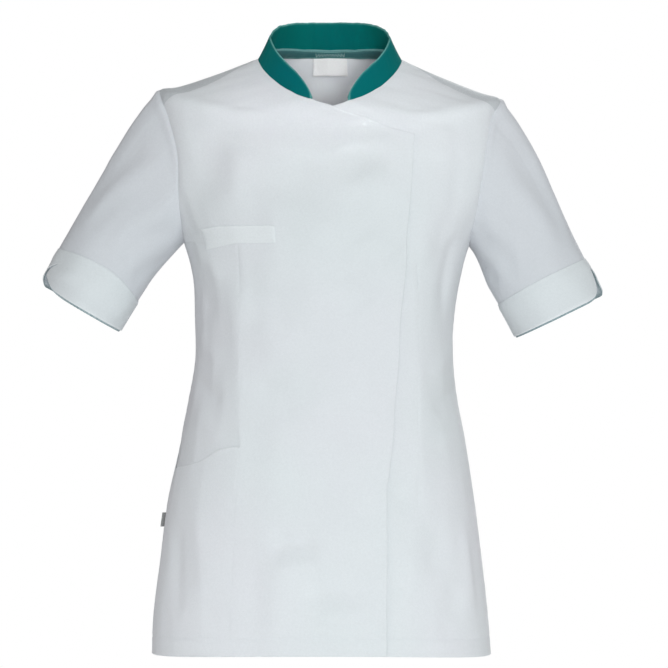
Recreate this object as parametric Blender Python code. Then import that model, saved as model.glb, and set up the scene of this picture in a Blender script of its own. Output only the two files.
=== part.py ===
"""A short-sleeved work tunic with a wrap front, filled out as if it were worn.

The cloth is a thin wall all round an empty body. Its form is one table of rings, from the hem up
to the neck seam, each ring a rounded outline that may dip at the front and rise at the back.
Every panel is an outline of seams drawn on that form. Sleeves, cuffs and collar start from the
same seams. Sizes in the tables are in millimetres, and angles are in degrees from centre front.
x is across (the wearer's right is at -x), y runs to the back, z is up, and the origin is between
the shoulders, level with the side neck points.
"""

from collections import namedtuple
from math import pi, radians

import bmesh
import bpy
import numpy as np
from mathutils.geometry import delaunay_2d_cdt

MM = 0.001                 # metres in a millimetre

# ---------------------------------------------------------------- driving dimensions, in mm
CLOTH = 1.2                # thickness of the body cloth, seams and hem averaged in
COLLAR_CLOTH = 1.0         # one layer of the collar, the facings and the tape
SEAM_GAP = 0.3             # between two pieces that are sewn edge to edge
LAYER_GAP = 1.2            # air between two layers that lie on each other
FACING_GAP = 0.2           # how far the cuff's facing stands off the sleeve's own form
LIFT_RUN = 32              # length over which a layer rises or sinks before it meets another
FACET = 27.0               # length of a triangle's side on the panels
NECK_FACET = 10.0          # and along the neck seam, which curves more
YOKE_FACET = 20.0          # on the yoke, its front seam and small pieces

# ---------------------------------------------------------------- the form of the body
# level: a label that rises along the cloth; mid, half: middle and half of the width;
# front, back, side_y: how far the ring reaches to the front and back, and where its sides are;
# z_*: height at centre front, at both sides and at centre back;
# square: 0 is an ellipse, more is fuller at the corners; dip: how late the ring dips to the front
Ring = namedtuple("Ring", "level mid half front back side_y z_front z_right z_left z_back square dip")
RINGS = (
    Ring(-688, -4.0, 196.6, 130, 127, 2, -681, -687, -688, -690, 0.025, 2.0),    # hem
    Ring(-650, -5.2, 194.3, 128, 129, 2, -645, -650, -650, -651, 0.025, 2.0),
    Ring(-580, -4.6, 186.7, 124, 131, 2, -578, -580, -580, -580, 0.025, 2.0),    # seat
    Ring(-510, -4.4, 177.4, 119, 128, 2, -510, -510, -510, -510, 0.025, 2.0),
    Ring(-440, -2.3, 164.7, 115, 116, 0, -440, -440, -440, -440, 0.025, 2.0),    # hip
    Ring(-395, -2.4, 155.6, 112, 103, 0, -395, -395, -395, -395, 0.025, 2.0),
    Ring(-348, -1.2, 149.6, 110, 93, -2, -348, -348, -348, -348, 0.025, 2.0),    # waist
    Ring(-300, -0.7, 149.9, 112, 90, -3, -300, -300, -300, -300, 0.025, 2.0),
    Ring(-250, 2.1, 155.4, 119, 95, -3, -250, -250, -250, -250, 0.030, 2.0),     # bust
    Ring(-212, 1.7, 165.3, 124, 101, 0, -212, -212, -216, -210, 0.030, 2.0),     # armpits
    Ring(-165, 4.0, 189.0, 121, 106, 3, -165, -164, -166, -160, 0.030, 2.0),
    Ring(-115, 7.0, 199.0, 108, 107, 5, -116, -110, -114, -106, 0.030, 2.0),
    Ring(-65, 5.0, 200.5, 96, 98, 6, -86, -62, -68, -60, 0.030, 2.0),
    Ring(-30, 5.8, 196.2, 91, 86, 5, -72, -34, -44, -34, 0.025, 2.0),            # shoulder tips
    Ring(-14, 5.9, 177.5, 89.5, 82, 4, -68, -31.5, -39.0, -25, 0.02, 1.9),
    Ring(10, 6.0, 140.0, 86, 74, 2, -62, -20, -25, -9, 0.015, 1.8),
    Ring(50, 5.8, 83.5, 80, 62, 0, -53.5, 1.5, 0, 15.6, 0.0, 1.4),               # neck seam
)
HEM = RINGS[0].level
NECK = RINGS[-1].level
NECK_MID = RINGS[-1].mid

# ---------------------------------------------------------------- seams and edges of the fronts
# across is x as seen from the front
Edge = namedtuple("Edge", "level across")
WRAP_NECK = (Edge(50, -15.8), Edge(39, -5), Edge(29, 5.9))            # over front, down to the V
WRAP_TOP = (Edge(29, 5.9), Edge(-20, 34.3), Edge(-60, 69.6), Edge(-80, 102.0))
WRAP_EDGE = (Edge(-80, 102.0), Edge(-110, 99.8), Edge(-166, 96.2), Edge(-223, 91.5), Edge(-260, 89.4),
             Edge(-346, 82.2), Edge(-416, 77.2), Edge(-476, 72.3), Edge(-524, 69.7), Edge(HEM, 69.5))
UNDER_NECK = (Edge(50, 27.5), Edge(28, 7.5), Edge(-6, -14), Edge(-24, -24))
UNDER_EDGE = (Edge(-24, -24), Edge(-120, -26), Edge(-300, -26), Edge(HEM, -26))
PRINCESS_UPPER = (Edge(-215, -99.3), Edge(-265, -96.5), Edge(-330, -94.5), Edge(-400, -95), Edge(-446, -96))
PRINCESS_LOWER = (Edge(-446, -96), Edge(-500, -101), Edge(-600, -105.5), Edge(HEM, -108))
POCKET_MOUTH = (Edge(-446, -96), Edge(-449, -118), Edge(-456, -131), Edge(-466, -150))
POCKET_SIDE_LEVEL = -476   # where the pocket's mouth meets the side seam
WELT_CORNERS = (Edge(-196, -56), Edge(-196, -118), Edge(-199, -140), Edge(-222, -134), Edge(-215, -99),
                Edge(-215, -55))

# ---------------------------------------------------------------- armholes, yoke and back
# away: degrees from centre front, the same on both shoulders, from the neck to the armhole
Turn = namedtuple("Turn", "level away")
YOKE_SEAM = (Turn(50, 92), Turn(30, 80), Turn(10, 70), Turn(-10, 65), Turn(-33, 62.5))
ARMHOLE_TOP = -30          # level of the shoulder tip
ARMHOLE_BOTTOM = -212      # level of the armpit
ARMHOLE_FRONT = 31         # degrees from the side that it cuts forward
ARMHOLE_BACK = 33          # and back
YOKE_FRONT_TURN = 42       # degrees round the armhole, from its top, to the yoke's front seam
YOKE_BACK_TURN = 72        # and to its back seam
YOKE_BACK_SEAM = (Turn(-113, 148), Turn(-120, 180))     # from the armhole to centre back

# ---------------------------------------------------------------- sleeves and cuffs
# top_*: ring at the cuff's upper edge, end_*: ring at the sleeve's end, as seen from the front;
# cuff_*: depth of the turned-back cuff at its outer line, at its front and back and under the arm;
# slit_*: degrees forward of the outer line where the slit starts and ends; gape: its width below
Sleeve = namedtuple("Sleeve", "side top_x top_z top_r end_x end_z end_r "
                    "cuff_out cuff_face cuff_in slit_top slit_end gape")
SLEEVES = (
    Sleeve("right", -256.3, -238.0, 56.7, -284.0, -287.6, 53.0, 48, 56, 39, 40, 8, 2.5),
    Sleeve("left", 240.7, -238.0, 57.2, 270.0, -295.7, 54.8, 44, 46, 42, 14, 8, 6.0),
)
SLEEVE_Y = (0, -6)         # the arm hangs a little forward: y of the upper and of the end ring
CAP_PULL = 150             # how strongly the sleeve head rounds over the shoulder tip
PIT_PULL_SHARE = 0.35      # how much of that is left in the armpit
CAP_END_PULL = 0.9         # how straight the sleeve runs into its cuff, as a share of its length
CAP_ROWS = 9
HEAD_SLOPE = (0.88, 0.47)  # out and down, where the sleeve leaves the shoulder tip
PIT_SLOPE = (0.66, 0.75)   # and where it leaves the armpit
SLIT_DEPTH = 34
CORNER_RADIUS = 11         # of the cuff's corners beside the slit
FACING_SHOW = 1.8          # how far the facing peeks out below the cuff
SLEEVE_TUCK = 37           # height above the end where the sleeve stops, under the cuff
BAND_COLUMNS = 31
BAND_CROWDING = 0.35       # how much closer the columns are beside the slit

# ---------------------------------------------------------------- collar
# away: degrees from centre front, either way; rise, lean: up, and in towards the neck
Stand = namedtuple("Stand", "away rise lean")
COLLAR = (Stand(15, 3.0, 0), Stand(17, 10, 2), Stand(21, 17, 4), Stand(30, 25.5, 6), Stand(45, 29, 8),
          Stand(60, 29, 11), Stand(75, 28.5, 14.5), Stand(90, 26.8, 15.6), Stand(105, 32, 16.6),
          Stand(120, 34.8, 15.4), Stand(135, 34.6, 12.4), Stand(150, 33.6, 9), Stand(180, 32.2, 6))
COLLAR_ROWS = (0, 0.5, 1.0)
COLLAR_BOW = 0.25          # how much earlier than straight it leans in
TAPE_WIDTH = 8
TAPE_ENDS = (98, 262)      # degrees from centre front, round the back
TAPE_COLUMNS = 19
LABEL_WIDTH = 39
LABEL_HEIGHT = 21
LABEL_GRID = (6, 4)        # points across and down
TAB_LEVELS = (-525, -541)  # of the side tab's upper and lower edge
TAB_REACH = 4.5            # out of the side seam
TAB_CLOTH = 2.0

# ---------------------------------------------------------------- colours, linear
WHITE = (0.72, 0.77, 0.80)
YOKE_GREY = (0.52, 0.55, 0.57)
TEAL = (0.006, 0.12, 0.10)
TAPE_TEAL = (0.03, 0.10, 0.11)
LABEL_WHITE = (0.80, 0.82, 0.82)
TAB_GREY = (0.22, 0.23, 0.23)


# ================================================================ the form
def ring_at(level):
    """All columns of RINGS at any level, on a smooth cubic through its rows."""
    rows = np.array(RINGS, dtype=float)
    levels = rows[:, 0]
    slopes = np.gradient(rows, levels, axis=0)
    below = np.clip(np.searchsorted(levels, level) - 1, 0, len(levels) - 2)
    step = levels[below + 1] - levels[below]
    t = (level - levels[below]) / step
    weights = (2 * t**3 - 3 * t**2 + 1, (t**3 - 2 * t**2 + t) * step,
               3 * t**2 - 2 * t**3, (t**3 - t**2) * step)
    values = (rows[below], slopes[below], rows[below + 1], slopes[below + 1])
    mixed = sum(weight[..., None] * value for weight, value in zip(weights, values))
    return Ring(*np.moveaxis(mixed, -1, 0))


def body_point(angle, level):
    """Point of the cloth's outer face; angle in radians from centre front, towards +x."""
    ring = ring_at(level)
    sine, cosine = np.sin(angle), np.cos(angle)
    across = (sine + ring.square * np.sin(3 * angle)) / (1 - ring.square)
    forward = (cosine - ring.square * np.cos(3 * angle)) / (1 - ring.square)
    ahead = cosine > 0
    depth = np.where(ahead, ring.front, ring.back)
    z_side = np.where(sine < 0, ring.z_right, ring.z_left)
    z_end = np.where(ahead, ring.z_front, ring.z_back)
    z = z_side + (z_end - z_side) * np.abs(cosine) ** ring.dip
    return np.stack((ring.mid + ring.half * across, ring.side_y - depth * forward, z), axis=-1)


def unit(vectors):
    return vectors / np.linalg.norm(vectors, axis=-1, keepdims=True)


def normal_of(surface, u, v, du, dv):
    """Outward direction of a surface, from two small steps on it."""
    along = surface(u + du, v) - surface(u - du, v)
    up = surface(u, v + dv) - surface(u, v - dv)
    return unit(np.cross(along, up))


def body_normal(angle, level):
    inside = np.clip(level, HEM + 0.5, NECK - 0.5)
    return normal_of(body_point, angle, inside, 0.002, 0.4)


def smooth_path(points, count=240):
    """A dense smooth curve through a few points, in any number of coordinates."""
    points = np.asarray(points, dtype=float)
    if len(points) == 2:
        t = np.linspace(0, 1, count)[:, None]
        return points[0] * (1 - t) + points[1] * t
    knots = np.arange(len(points))
    slopes = np.gradient(points, axis=0)
    t = np.linspace(0, len(points) - 1, count)
    below = np.clip(t.astype(int), 0, len(points) - 2)
    t = (t - knots[below])[:, None]
    start, end = points[below], points[below + 1]
    return ((2 * t**3 - 3 * t**2 + 1) * start + (t**3 - 2 * t**2 + t) * slopes[below]
            + (3 * t**2 - 2 * t**3) * end + (t**3 - t**2) * slopes[below + 1])


def even_steps(path, facet=FACET):
    """The same curve on the body, (angle, level), with points about one facet apart."""
    place = body_point(path[:, 0], path[:, 1])
    travelled = np.concatenate(([0], np.cumsum(np.linalg.norm(np.diff(place, axis=0), axis=1))))
    count = max(1, round(travelled[-1] / facet))
    stops = np.linspace(0, travelled[-1], count + 1)
    return np.stack([np.interp(stops, travelled, path[:, axis]) for axis in (0, 1)], axis=1)


def angle_across(level, across):
    """Angle on the front half where the ring of that level is at that x."""
    low, high = -pi / 2, pi / 2
    for _ in range(40):
        middle = (low + high) / 2
        if body_point(np.array(middle), np.array(float(level)))[0] < across:
            low = middle
        else:
            high = middle
    return (low + high) / 2


def front_path(edges):
    return [(angle_across(edge.level, edge.across), edge.level) for edge in edges]


def seam(points, facet=FACET):
    return even_steps(smooth_path(points), facet)


def chain(*parts):
    """One closed outline from seams laid end to end; each starts where the last one ended."""
    return np.concatenate([part[:-1] for part in parts])


# ================================================================ seams of the body
def armhole(side, turn):
    """(angle, level) on the armhole; turn is degrees from its top, to the front if positive."""
    turn = radians(turn)
    reach = ARMHOLE_FRONT if turn > 0 else ARMHOLE_BACK
    level = (ARMHOLE_TOP + ARMHOLE_BOTTOM) / 2 + (ARMHOLE_TOP - ARMHOLE_BOTTOM) / 2 * np.cos(turn)
    forward = radians(reach) * np.sin(turn)
    if side == "right":
        return (-pi / 2 + forward, level)
    return (pi / 2 - forward, level)


def armhole_seam(side, start, end):
    turns = np.linspace(start, end, 25)
    return seam([armhole(side, turn) for turn in turns])


def shifted(path):
    """The same place on the body, one whole turn on, for panels that pass over centre back."""
    return path + np.array((2 * pi, 0))


def make_seams():
    side_r, side_l = -pi / 2, pi / 2
    ends = {
        "neck_right": (-radians(YOKE_SEAM[0].away), NECK),
        "neck_left": (radians(YOKE_SEAM[0].away), NECK),
    }
    seams = {}
    for side, sign in (("right", -1), ("left", 1)):
        over_shoulder = [(sign * radians(turn.away), turn.level) for turn in YOKE_SEAM]
        seams["yoke_" + side] = seam(over_shoulder + [armhole(side, YOKE_FRONT_TURN)], YOKE_FACET)
        seams["arm_front_" + side] = armhole_seam(side, 180, YOKE_FRONT_TURN)
        seams["arm_top_" + side] = armhole_seam(side, YOKE_FRONT_TURN, -YOKE_BACK_TURN)
        seams["arm_back_" + side] = armhole_seam(side, -YOKE_BACK_TURN, -180)
        seams["side_" + side] = seam([(sign * pi / 2, ARMHOLE_BOTTOM), (sign * pi / 2, POCKET_SIDE_LEVEL)])
        seams["side_low_" + side] = seam([(sign * pi / 2, POCKET_SIDE_LEVEL), (sign * pi / 2, HEM)])
    right_back = armhole("right", -YOKE_BACK_TURN)
    half_across = [(radians(turn.away), turn.level) for turn in YOKE_BACK_SEAM]
    other_half = [(2 * pi - angle, level) for angle, level in half_across[-2::-1]]
    seams["yoke_back"] = seam([armhole("left", -YOKE_BACK_TURN)] + half_across + other_half
                              + [(right_back[0] + 2 * pi, right_back[1])])
    seams["princess_upper"] = seam(front_path(PRINCESS_UPPER))
    seams["princess_lower"] = seam(front_path(PRINCESS_LOWER))
    princess_top = seams["princess_upper"][0]
    princess_hem = seams["princess_lower"][-1]
    seams["under_welt"] = seam([princess_top, (side_r, ARMHOLE_BOTTOM)])
    seams["hem_side"] = seam([princess_hem, (side_r, HEM)])
    wrap_hem = front_path(WRAP_EDGE[-1:])[0]
    under_hem = front_path(UNDER_EDGE[-1:])[0]
    seams["hem_right"] = seam([wrap_hem, princess_hem])
    seams["hem_left"] = seam([under_hem, (side_l, HEM)])
    seams["hem_back"] = seam([(side_l, HEM), (side_r + 2 * pi, HEM)])
    neck_tip_right = front_path(WRAP_NECK[:1])[0]
    neck_tip_left = front_path(UNDER_NECK[:1])[0]
    neck_back_end = (ends["neck_right"][0] + 2 * pi, NECK)
    seams["neck_right"] = seam([ends["neck_right"], neck_tip_right], NECK_FACET)
    seams["neck_left"] = seam([ends["neck_left"], neck_tip_left], NECK_FACET)
    seams["neck_back"] = seam([ends["neck_left"], neck_back_end], NECK_FACET)
    for name, rows in (("wrap_neck", WRAP_NECK), ("wrap_top", WRAP_TOP), ("wrap_edge", WRAP_EDGE),
                       ("under_neck", UNDER_NECK), ("under_edge", UNDER_EDGE)):
        seams[name] = seam(front_path(rows))
    mouth = front_path(POCKET_MOUTH) + [(side_r, POCKET_SIDE_LEVEL)]
    seams["pocket_mouth"] = seam(mouth, YOKE_FACET)
    return seams


SEAMS = make_seams()


# ================================================================ sheets and walls
# A sheet is (points, directions, faces): the outer face of a piece, the outward direction at
# each point, and faces that run anticlockwise seen from outside.
def inside_outline(outline, points):
    """Even-odd test of many points against one polygon."""
    x, y = points[:, 0], points[:, 1]
    within = np.zeros(len(points), dtype=bool)
    for (x0, y0), (x1, y1) in zip(outline, np.roll(outline, -1, axis=0)):
        crosses = (y0 > y) != (y1 > y)
        if y0 != y1:
            within ^= crosses & (x < (x1 - x0) * (y - y0) / (y1 - y0) + x0)
    return within


def distance_to_outline(outline, points):
    nearest = np.full(len(points), np.inf)
    for start, end in zip(outline, np.roll(outline, -1, axis=0)):
        run = end - start
        t = np.clip(((points - start) @ run) / max(run @ run, 1e-9), 0, 1)
        nearest = np.minimum(nearest, np.linalg.norm(points - start - t[:, None] * run, axis=1))
    return nearest


def height_map():
    """Tables by level: mean radius of the ring, and height measured along the cloth."""
    levels = np.linspace(HEM, NECK, 300)
    around = [body_point(np.full(300, turn), levels) for turn in np.linspace(0, 2 * pi, 12, endpoint=False)]
    steps = np.mean([np.linalg.norm(np.diff(line, axis=0), axis=1) for line in around], axis=0)
    height = np.concatenate(([0], np.cumsum(steps)))
    ring = ring_at(levels)
    radius = (ring.half + (ring.front + ring.back) / 2) / 2
    return levels, radius, height


MAP_LEVELS, MAP_RADIUS, MAP_HEIGHT = height_map()
FLAT_RADIUS = 150.0        # one radius for the flat layout, so that upright lines stay upright


def flatten(path):
    height = np.interp(path[:, 1], MAP_LEVELS, MAP_HEIGHT)
    return np.stack((path[:, 0] * FLAT_RADIUS, height), axis=1)


def panel_sheet(outline, facet=FACET, lift=None):
    """A piece of the body cut along an outline of (angle, level).

    The points inside it come from one pattern for the whole body, so a layer that lies on
    another has the same points, moved out.
    """
    flat_outline = flatten(outline)
    row_gap = facet * 0.87
    lowest, highest = outline[:, 0].min(), outline[:, 0].max()
    inner = []
    for number in range(int(MAP_HEIGHT[-1] / row_gap)):
        height = (number + 0.5) * row_gap
        level = np.interp(height, MAP_HEIGHT, MAP_LEVELS)
        pace = facet / np.interp(height, MAP_HEIGHT, MAP_RADIUS)
        stagger = pace / 2 * (number % 2)
        angles = stagger + pace * np.arange(np.ceil((lowest - stagger) / pace), (highest - stagger) / pace)
        inner.append(np.stack((angles, np.full(len(angles), level)), axis=1))
    inner = np.concatenate(inner)
    flat_inner = flatten(inner)
    clear_of_edge = distance_to_outline(flat_outline, flat_inner) > facet * 0.5
    keep = inside_outline(flat_outline, flat_inner) & clear_of_edge
    path = np.concatenate((outline, inner[keep]))
    flat = [tuple(point) for point in np.concatenate((flat_outline, flat_inner[keep]))]
    border = [list(range(len(outline)))]
    _, _, faces, origins, _, _ = delaunay_2d_cdt(flat, [], border, 1, 1e-5)
    order = [origin[0] for origin in origins]
    path = path[order]
    points = body_point(path[:, 0], path[:, 1])
    directions = body_normal(path[:, 0], path[:, 1])
    if lift is not None:
        points = points + directions * lift(points)[:, None]
    return points, directions, [tuple(face) for face in faces]


def grid_sheet(points, directions, weld=False):
    """A sheet from rows of points; weld joins the first and last column where they meet."""
    rows, columns = points.shape[:2]
    faces = []
    index = np.arange(rows * columns).reshape(rows, columns)
    if weld:
        touching = np.linalg.norm(points[:, 0] - points[:, -1], axis=1) < 1e-6
        index[touching, -1] = index[touching, 0]
    for row in range(rows - 1):
        for column in range(columns - 1):
            faces.append((index[row, column], index[row, column + 1],
                          index[row + 1, column + 1], index[row + 1, column]))
    return points.reshape(-1, 3), directions.reshape(-1, 3), faces


def triangulated(points, faces):
    """Quads cut along the shorter diagonal, so that both walls are cut the same way."""
    result = []
    for face in faces:
        if len(face) == 3:
            result.append(tuple(face))
            continue
        a, b, c, d = face
        if np.linalg.norm(points[a] - points[c]) <= np.linalg.norm(points[b] - points[d]):
            result += [(a, b, c), (a, c, d)]
        else:
            result += [(a, b, d), (b, c, d)]
    return result


def border_edges(faces):
    """Directed edges that only one face uses."""
    used = {(face[i], face[(i + 1) % len(face)]) for face in faces for i in range(len(face))}
    return [edge for edge in used if (edge[1], edge[0]) not in used]


def pull_in(sheet, distance):
    """Move the sheet's edge inwards along its own surface, to leave a gap at the seams."""
    points, directions, faces = sheet
    inward = np.zeros_like(points)
    count = np.zeros(len(points))
    for start, end in border_edges(faces):
        push = unit(np.cross(directions[start] + directions[end], points[end] - points[start]))
        for corner in (start, end):
            inward[corner] += push
            count[corner] += 1
    moved = points.copy()
    edge = count > 0
    mean = inward[edge] / count[edge][:, None]
    length = np.clip(np.linalg.norm(mean, axis=1, keepdims=True), 0.5, 1)
    moved[edge] += mean / length**2 * distance
    return moved, directions, faces


SLANT = np.array((0.37, 0.61, 0.70))    # both pieces at a seam cut its strip along the same diagonal


def wall(sheet, thickness):
    """A closed wall: the sheet, the same sheet moved in, and a strip round every edge."""
    points, directions, faces = sheet
    faces = triangulated(points, faces)
    used = sorted({corner for face in faces for corner in face})
    fresh = {corner: number for number, corner in enumerate(used)}
    points, directions = points[used], directions[used]
    faces = [tuple(fresh[corner] for corner in face) for face in faces]
    count = len(points)
    closed = list(faces) + [tuple(corner + count for corner in reversed(face)) for face in faces]
    for start, end in border_edges(faces):
        if (points[end] - points[start]) @ SLANT > 0:
            closed += [(end, start, start + count), (end, start + count, end + count)]
        else:
            closed += [(end, start, end + count), (start, start + count, end + count)]
    return np.concatenate((points, points - directions * thickness)), closed


def material(name, colour, roughness):
    made = bpy.data.materials.new(name)
    made.use_nodes = True
    shader = made.node_tree.nodes["Principled BSDF"]
    shader.inputs["Base Color"].default_value = (*colour, 1.0)
    shader.inputs["Roughness"].default_value = roughness
    shader.inputs["Metallic"].default_value = 0.0
    return made


def add_piece(name, sheet, thickness, colour, roughness=0.8):
    """Place one piece of cloth in the scene as a closed mesh, in metres."""
    points, faces = wall(pull_in(sheet, SEAM_GAP / 2), thickness)
    mesh = bpy.data.meshes.new(name)
    mesh.from_pydata((points * MM).tolist(), [], faces)
    mesh.validate()
    piece = bpy.data.objects.new(name, mesh)
    bpy.context.collection.objects.link(piece)
    mesh.materials.append(material(name, colour, roughness))
    body = bmesh.new()
    body.from_mesh(mesh)
    bmesh.ops.recalc_face_normals(body, faces=body.faces)
    body.to_mesh(mesh)
    body.free()
    return piece


# ================================================================ body panels
def wrap_lift(points):
    """The over front rises off the form before it reaches the under front's edge."""
    end = UNDER_EDGE[-1].across - FACET
    t = np.clip((points[:, 0] - end) / LIFT_RUN + 1, 0, 1)
    return (CLOTH + LAYER_GAP) * (3 * t**2 - 2 * t**3)


def pocket_sink(points):
    """The side panel sinks below the form before it runs in under the hip pocket."""
    side = body_point(np.array(-pi / 2), np.array(float(POCKET_SIDE_LEVEL)))
    mouth_x = [side[0]] + [edge.across for edge in POCKET_MOUTH[::-1]]
    mouth_z = [side[2]] + [edge.level for edge in POCKET_MOUTH[::-1]]
    above = points[:, 2] - np.interp(points[:, 0], mouth_x, mouth_z)
    t = np.clip((FACET + LIFT_RUN - above) / LIFT_RUN, 0, 1)
    return -(CLOTH + LAYER_GAP) * (3 * t**2 - 2 * t**3)


def welt_lift(points):
    """The welt lies on the over front, wherever that has risen to."""
    return wrap_lift(points) + CLOTH + LAYER_GAP


def make_panels():
    s = SEAMS
    back = {name: path[::-1] for name, path in s.items()}
    front_right = chain(s["neck_right"], s["wrap_neck"], s["wrap_top"], s["wrap_edge"], s["hem_right"],
                        back["princess_lower"], back["princess_upper"], s["under_welt"],
                        s["arm_front_right"], back["yoke_right"])
    front_right_side = chain(s["princess_upper"], s["princess_lower"], s["hem_side"],
                             back["side_low_right"], back["side_right"], back["under_welt"])
    front_left = chain(s["neck_left"], s["under_neck"], s["under_edge"], s["hem_left"],
                       back["side_low_left"], back["side_left"], s["arm_front_left"], back["yoke_left"])
    whole_back = chain(s["side_left"], s["side_low_left"], s["hem_back"],
                       shifted(back["side_low_right"]), shifted(back["side_right"]),
                       shifted(back["arm_back_right"]), back["yoke_back"], s["arm_back_left"])
    yoke = chain(s["yoke_left"], s["arm_top_left"], s["yoke_back"], shifted(back["arm_top_right"]),
                 shifted(back["yoke_right"]), back["neck_back"])
    add_piece("front_right", panel_sheet(front_right, lift=wrap_lift), CLOTH, WHITE)
    add_piece("front_right_side", panel_sheet(front_right_side, lift=pocket_sink), CLOTH, WHITE)
    add_piece("front_left", panel_sheet(front_left), CLOTH, WHITE)
    add_piece("back", panel_sheet(whole_back), CLOTH, WHITE)
    add_piece("back_yoke", panel_sheet(yoke, YOKE_FACET), CLOTH, YOKE_GREY)
    pocket = chain(s["princess_lower"], s["hem_side"], back["side_low_right"], back["pocket_mouth"])
    add_piece("hip_pocket", panel_sheet(pocket), CLOTH, WHITE)
    corners = front_path(WELT_CORNERS)
    sides = [seam([corner, after], YOKE_FACET) for corner, after in zip(corners, corners[1:] + corners[:1])]
    add_piece("chest_welt", panel_sheet(chain(*sides), lift=welt_lift), CLOTH, WHITE)


# ================================================================ sleeves and cuffs
def armhole_points(side):
    """The armhole's seam points in order from the armpit, up the front, down the back."""
    loop = chain(SEAMS["arm_front_" + side], SEAMS["arm_top_" + side], SEAMS["arm_back_" + side])
    return body_point(loop[:, 0], loop[:, 1])


def sleeve_axes(sleeve):
    """Middle of the upper and the end ring, the way down the arm, the way out, in that order."""
    upper = np.array((sleeve.top_x, SLEEVE_Y[0], sleeve.top_z))
    end = np.array((sleeve.end_x, SLEEVE_Y[1], sleeve.end_z))
    down = unit(end - upper)
    outward = unit(np.cross(down, np.array((0.0, 1.0, 0.0))))
    if outward[0] * sleeve.end_x < 0:
        outward = -outward
    return upper, end, down, outward


def cuff_point(sleeve, turn, height):
    """Point of the sleeve below its upper ring; turn in radians forward from the outer line."""
    upper, end, down, outward = sleeve_axes(sleeve)
    full = np.linalg.norm(end - upper)
    t = (1 - np.asarray(height) / full)[..., None]
    middle = upper + (end - upper) * t
    radius = sleeve.top_r + (sleeve.end_r - sleeve.top_r) * t
    forward = np.array((0.0, -1.0, 0.0))
    turn = np.asarray(turn)[..., None]
    return middle + radius * (np.cos(turn) * outward + np.sin(turn) * forward)


def cap_sheet(sleeve):
    """The sleeve from the armhole to where it stops under the cuff."""
    start = armhole_points(sleeve.side)
    top = int(np.argmax(start[:, 2]))
    steps = np.linalg.norm(np.diff(np.concatenate((start, start[:1])), axis=0), axis=1)
    travelled = np.concatenate(([0], np.cumsum(steps)))
    front_part = travelled[:-1] / travelled[top]
    back_part = (travelled[:-1] - travelled[top]) / (travelled[-1] - travelled[top])
    turn = np.where(np.arange(len(start)) <= top, pi * (1 - front_part), -pi * back_part)
    upper, end, down, outward = sleeve_axes(sleeve)
    full = np.linalg.norm(end - upper)
    finish = cuff_point(sleeve, turn, np.full(len(turn), full))
    sign = np.sign(sleeve.end_x)
    over = ((1 + np.cos(turn)) / 2)[:, None]
    head = np.array((sign * HEAD_SLOPE[0], 0, -HEAD_SLOPE[1]))
    pit = np.array((sign * PIT_SLOPE[0], 0, -PIT_SLOPE[1]))
    leave = unit(head * over + pit * (1 - over)) * (CAP_PULL * (PIT_PULL_SHARE + (1 - PIT_PULL_SHARE) * over))
    arrive = down * np.linalg.norm(finish - start, axis=1)[:, None] * CAP_END_PULL
    rows = []
    for t in np.linspace(0, 1, CAP_ROWS):
        rows.append((2 * t**3 - 3 * t**2 + 1) * start + (t**3 - 2 * t**2 + t) * leave
                    + (3 * t**2 - 2 * t**3) * finish + (t**3 - t**2) * arrive)
    rows.append(cuff_point(sleeve, turn, np.full(len(turn), SLEEVE_TUCK + SEAM_GAP)))
    points = np.array(rows)
    points = np.concatenate((points, points[:, :1]), axis=1)
    return tube_sheet(points)


def tube_sheet(points):
    """A sheet on rows of points that go round an arm, with its directions facing out of it."""
    along = np.gradient(points, axis=1)
    along[:, 0] = along[:, -1] = points[:, 1] - points[:, -2]
    down = np.gradient(points, axis=0)
    directions = unit(np.cross(down, along))
    middle = points.mean(axis=1, keepdims=True)
    if (directions * (points - middle)).sum() < 0:
        directions = -directions
    return face_outwards(grid_sheet(points, directions, weld=True))


def face_outwards(sheet):
    """Turn the faces so that they run anticlockwise seen along their directions."""
    points, directions, faces = sheet
    a, b, c = faces[0][:3]
    if np.dot(np.cross(points[b] - points[a], points[c] - points[a]), directions[a]) < 0:
        faces = [tuple(reversed(face)) for face in faces]
    return points, directions, faces


def cuff_depth(sleeve, turn):
    """Depth of the turned-back cuff all round the arm."""
    level_part = np.where(np.cos(turn) > 0, sleeve.cuff_out, sleeve.cuff_in) * np.cos(turn) ** 2
    return level_part + sleeve.cuff_face * np.sin(turn) ** 2


def band_sheet(sleeve, bottom, top, lift, gape):
    """A band round the sleeve's end, slit at its outer side, with round corners at the slit.

    top is None for the cuff's own uneven depth. The band is three rings: its lower edge, the
    top of the slit and its upper edge. Its columns are closer together beside the slit.
    """
    even = np.linspace(0, 1, BAND_COLUMNS)
    share = even - np.sin(2 * pi * even) / (2 * pi) * BAND_CROWDING
    girth = 2 * pi * sleeve.end_r
    from_slit = np.minimum(share, 1 - share) * girth
    short_of_corner = np.clip(CORNER_RADIUS - from_slit, 0, CORNER_RADIUS)
    lower = bottom + CORNER_RADIUS - np.sqrt(CORNER_RADIUS**2 - short_of_corner**2)
    upper = cuff_depth(sleeve, 2 * pi * share + radians(sleeve.slit_top)) if top is None else top
    heights = np.array((lower, np.full(BAND_COLUMNS, float(SLIT_DEPTH)), upper * np.ones(BAND_COLUMNS)))
    risen = np.clip(heights / SLIT_DEPTH, 0, 1)
    open_share = gape * np.sqrt(1 - risen) / girth
    slit = np.radians(sleeve.slit_end + (sleeve.slit_top - sleeve.slit_end) * risen)
    turn = slit + 2 * pi * (open_share / 2 + share * (1 - open_share))
    points = cuff_point(sleeve, turn, heights)
    upper_middle, _, down, _ = sleeve_axes(sleeve)
    middle = upper_middle + down * ((points - upper_middle) @ down)[..., None]
    directions = unit(points - middle)
    return face_outwards(grid_sheet(points + directions * lift, directions, weld=True))


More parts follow.
